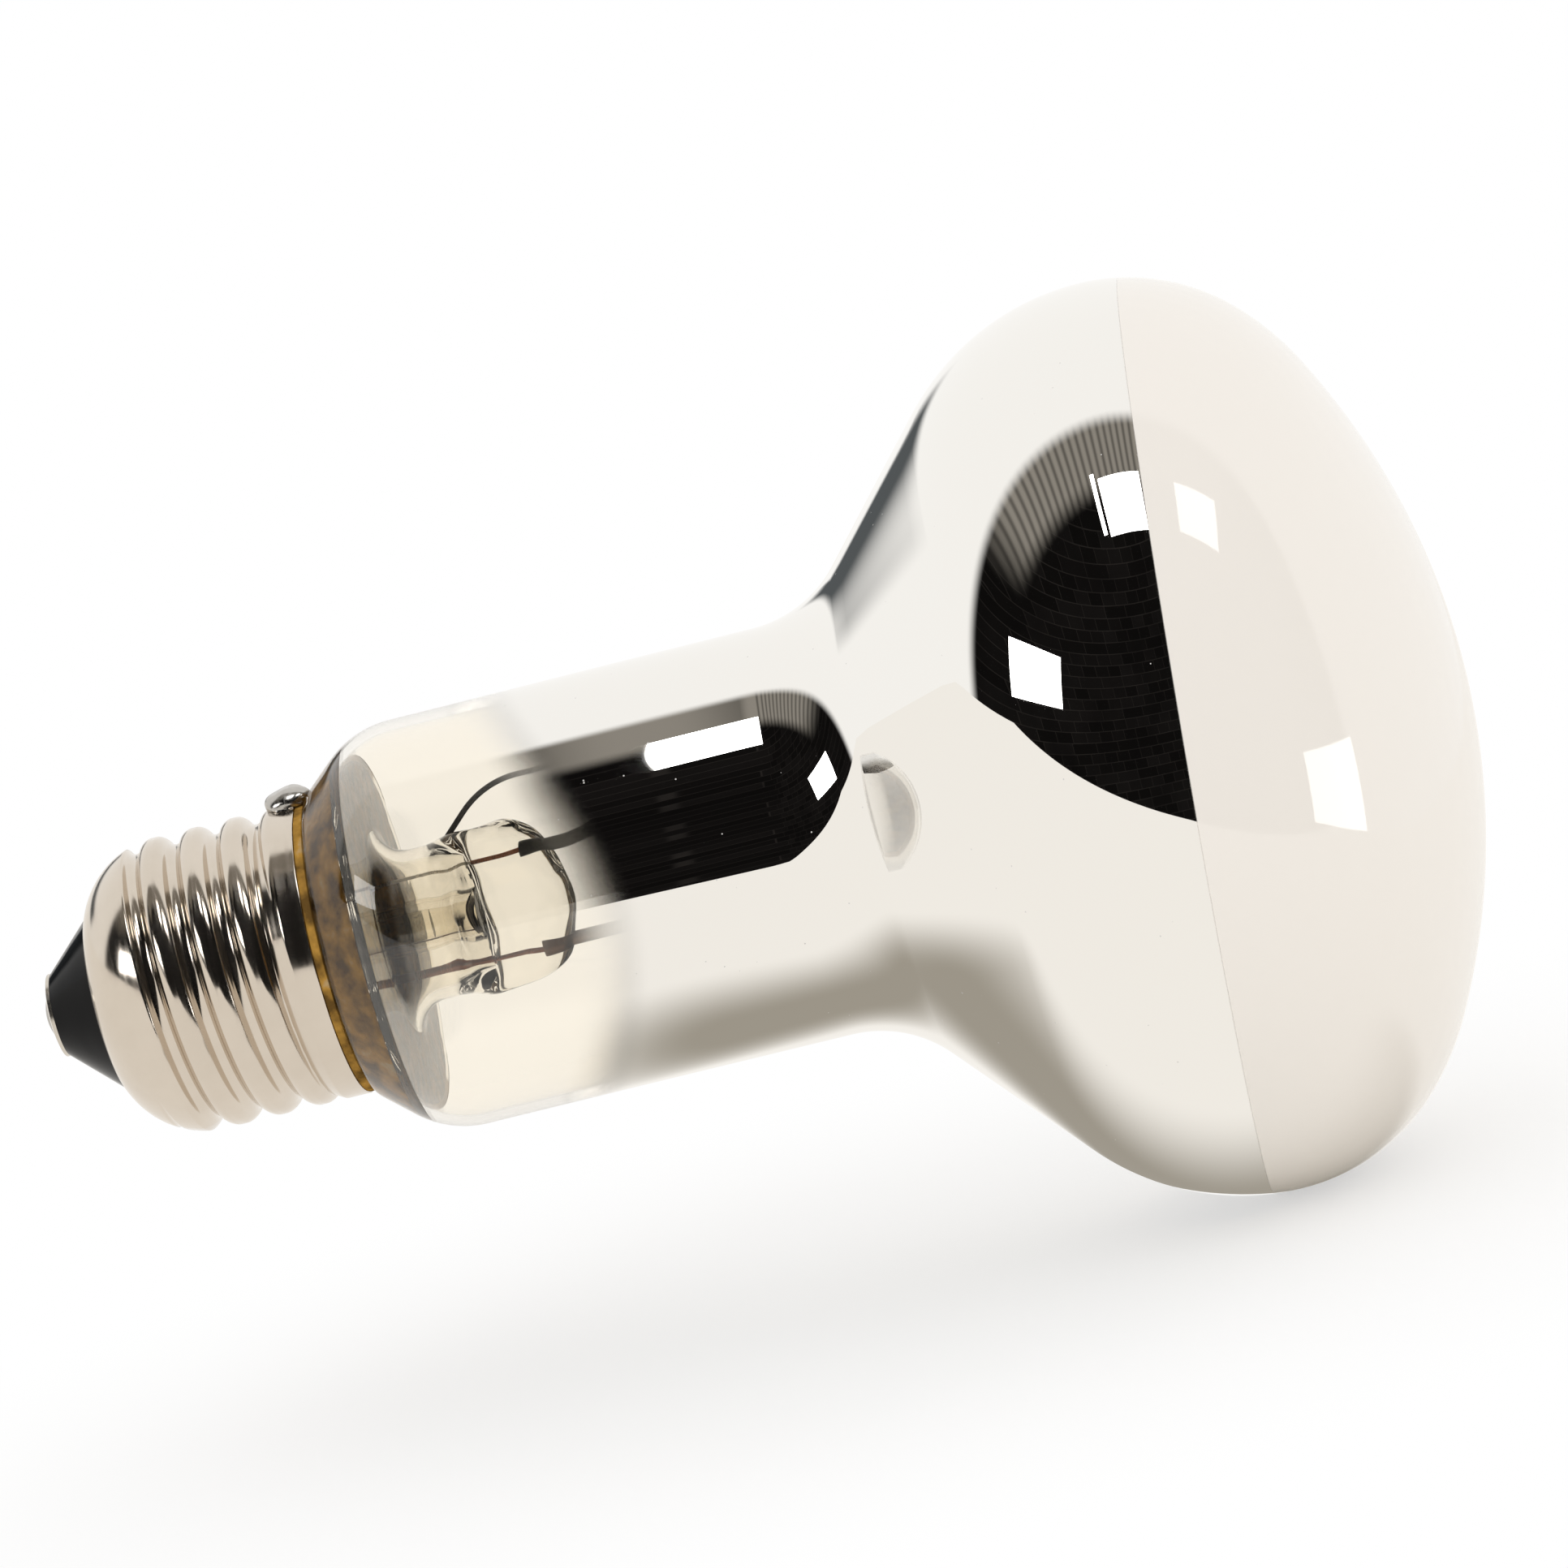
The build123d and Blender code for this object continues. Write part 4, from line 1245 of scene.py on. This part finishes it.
    def build_floor(self) -> None:
        """Lay a white floor that keeps the lamp's shadow and ends white in the distance."""
        material, tree = new_material("white_table")
        spot = add_node(tree, "ShaderNodeTexCoord").outputs["Object"]
        height = self.floor_z * MM
        reach = {0: spot, 1: (self.aim_x * MM, 0.0, height)}
        away = add_node(tree, "ShaderNodeVectorMath", reach, operation="DISTANCE").outputs["Value"]
        path = add_node(tree, "ShaderNodeLightPath").outputs
        known = {"away": away, "camera": path["Is Camera Ray"], "through": path["Is Transmission Ray"]}
        ends = (self.shadow_full * MM, self.shadow_end * MM, self.shadow_lift)
        steps = (
            ("far", "SMOOTHSTEP", "away", *ends),
            ("eye", "MAXIMUM", "camera", "through"),
            ("white", "MULTIPLY", "eye", "far"),
        )
        seen = work_out(tree, known, steps)["white"]
        matte = add_node(tree, "ShaderNodeBsdfDiffuse", {"Color": linear("FAF9F7")}).outputs[0]
        pure = add_node(tree, "ShaderNodeEmission", {"Color": WHITE, "Strength": 1.0}).outputs[0]
        ground = add_node(tree, "ShaderNodeMixShader", {0: seen, 1: matte, 2: pure})
        add_node(tree, "ShaderNodeOutputMaterial", {"Surface": ground.outputs[0]})
        half = self.floor_half * MM
        corners = [(i * half, j * half, height) for i, j in SQUARE]
        self.stage_sheet("table", corners, material).visible_glossy = False

    def build_board(self) -> None:
        """Set the white board that the mirror and the cap show under the lamp, with a painted shadow where
        it is close.
        """
        material, tree = new_material("white_board")
        spot = add_node(tree, "ShaderNodeTexCoord").outputs["Object"]
        axes = add_node(tree, "ShaderNodeSeparateXYZ", {0: spot}).outputs
        # A painted shadow of the lamp: the board is darker near a strip under it, a little in front of its
        # axis
        steps = (
            ("run", "SUBTRACT", "x", self.board_shade_x * MM),
            ("reach", "ABSOLUTE", "run"),
            ("past", "SUBTRACT", "reach", self.board_shade_half * MM),
            ("end", "MAXIMUM", "past", 0.0),
            ("end_sq", "MULTIPLY", "end", "end"),
            ("side", "SUBTRACT", "y", self.board_shade_y * MM),
            ("away_sq", "MULTIPLY_ADD", "side", "side", "end_sq"),
            ("away", "SQRT", "away_sq"),
            ("lit", "SMOOTHSTEP", "away", self.board_shade_from * MM, self.board_shade_to * MM),
            # Painted shadow colour near the strip, the board's white where it is lit
            ("colour", "RGBA", "lit", linear("A39D92"), linear("FAF7F2")),
        )
        colour = work_out(tree, {"x": axes["X"], "y": axes["Y"]}, steps)["colour"]
        glow = add_node(tree, "ShaderNodeEmission", {"Color": colour, "Strength": 1.0})
        add_node(tree, "ShaderNodeOutputMaterial", {"Surface": glow.outputs[0]})
        ends = ((self.board_left, self.board_front), (self.board_far, self.board_front))
        ends += ((self.board_far, self.board_far), (self.board_left, self.board_far))
        corners = [Vector((x, y, self.board_z + self.board_slope * x)) * MM for x, y in ends]
        self.only_for_gloss(self.stage_sheet("board", corners, material))

    def build_cards(self) -> None:
        """Hang the light cards."""
        material, tree = new_material("light_card")
        glow = add_node(tree, "ShaderNodeEmission", {"Strength": self.card_strength})
        add_node(tree, "ShaderNodeOutputMaterial", {"Surface": glow.outputs[0]})
        for card in self.cards:
            self.only_for_gloss(self.stage_sheet(card.name, card.corners(), material))

    def build_camera(self) -> None:
        """Set the camera at the photograph's angle."""
        around, above = math.radians(self.camera_azimuth), math.radians(self.camera_elevation)
        level = Vector((math.sin(around), -math.cos(around), 0.0))
        back = level * math.cos(above) + Vector((0, 0, math.sin(above)))
        right = Vector((0, 0, 1)).cross(back).normalized()
        up = back.cross(right)
        roll = math.radians(self.camera_roll)
        turned_up = up * math.cos(roll) + right * math.sin(roll)
        turned_right = turned_up.cross(back)
        aim = Vector((self.aim_x, 0, 0)) * MM + turned_up * self.aim_up * MM
        data = bpy.data.cameras.new("camera")
        data.sensor_width = 36.0
        data.lens = self.focal_px / IMAGE_SIDE * data.sensor_width
        data.clip_start, data.clip_end = 0.01, 100.0
        camera = bpy.data.objects.new("camera", data)
        bpy.context.scene.collection.objects.link(camera)
        spot = aim + back * self.camera_distance * MM
        turn = Matrix((turned_right, turned_up, back)).transposed()
        camera.matrix_world = Matrix.Translation(spot) @ turn.to_4x4()
        bpy.context.scene.camera = camera

    def build(self) -> None:
        """Make the whole studio."""
        bpy.context.scene.view_settings.view_transform = "Standard"
        self.build_world()
        self.build_floor()
        self.build_board()
        self.build_cards()
        self.build_camera()


def main() -> None:
    """Build and dress the lamp, then the studio round it."""
    logging.basicConfig(level=logging.INFO, format="%(message)s")
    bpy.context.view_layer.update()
    bulb = Bulb()
    bulb.build(BulbGlass())
    stem = Stem()
    stem.build(bulb, ClearGlass("pressed_stem_glass", "FCF8EF"))
    cap = ScrewCap()
    cap.build_shell(RolledMetal("nickel_plated_brass", "DDD3C6", "CFC4B6", 0.13))
    cap.build_cement(bulb, stem.flare_x, BakedCement())
    cap.build_rim_solder(RolledMetal("soft_solder_blob", "CFCCC7", "AFABA5", 0.2))
    for solids in (CAP_END, LEADS, BURNER):
        solids.dress()
    Studio().build()


if __name__ == "__main__":
    main()
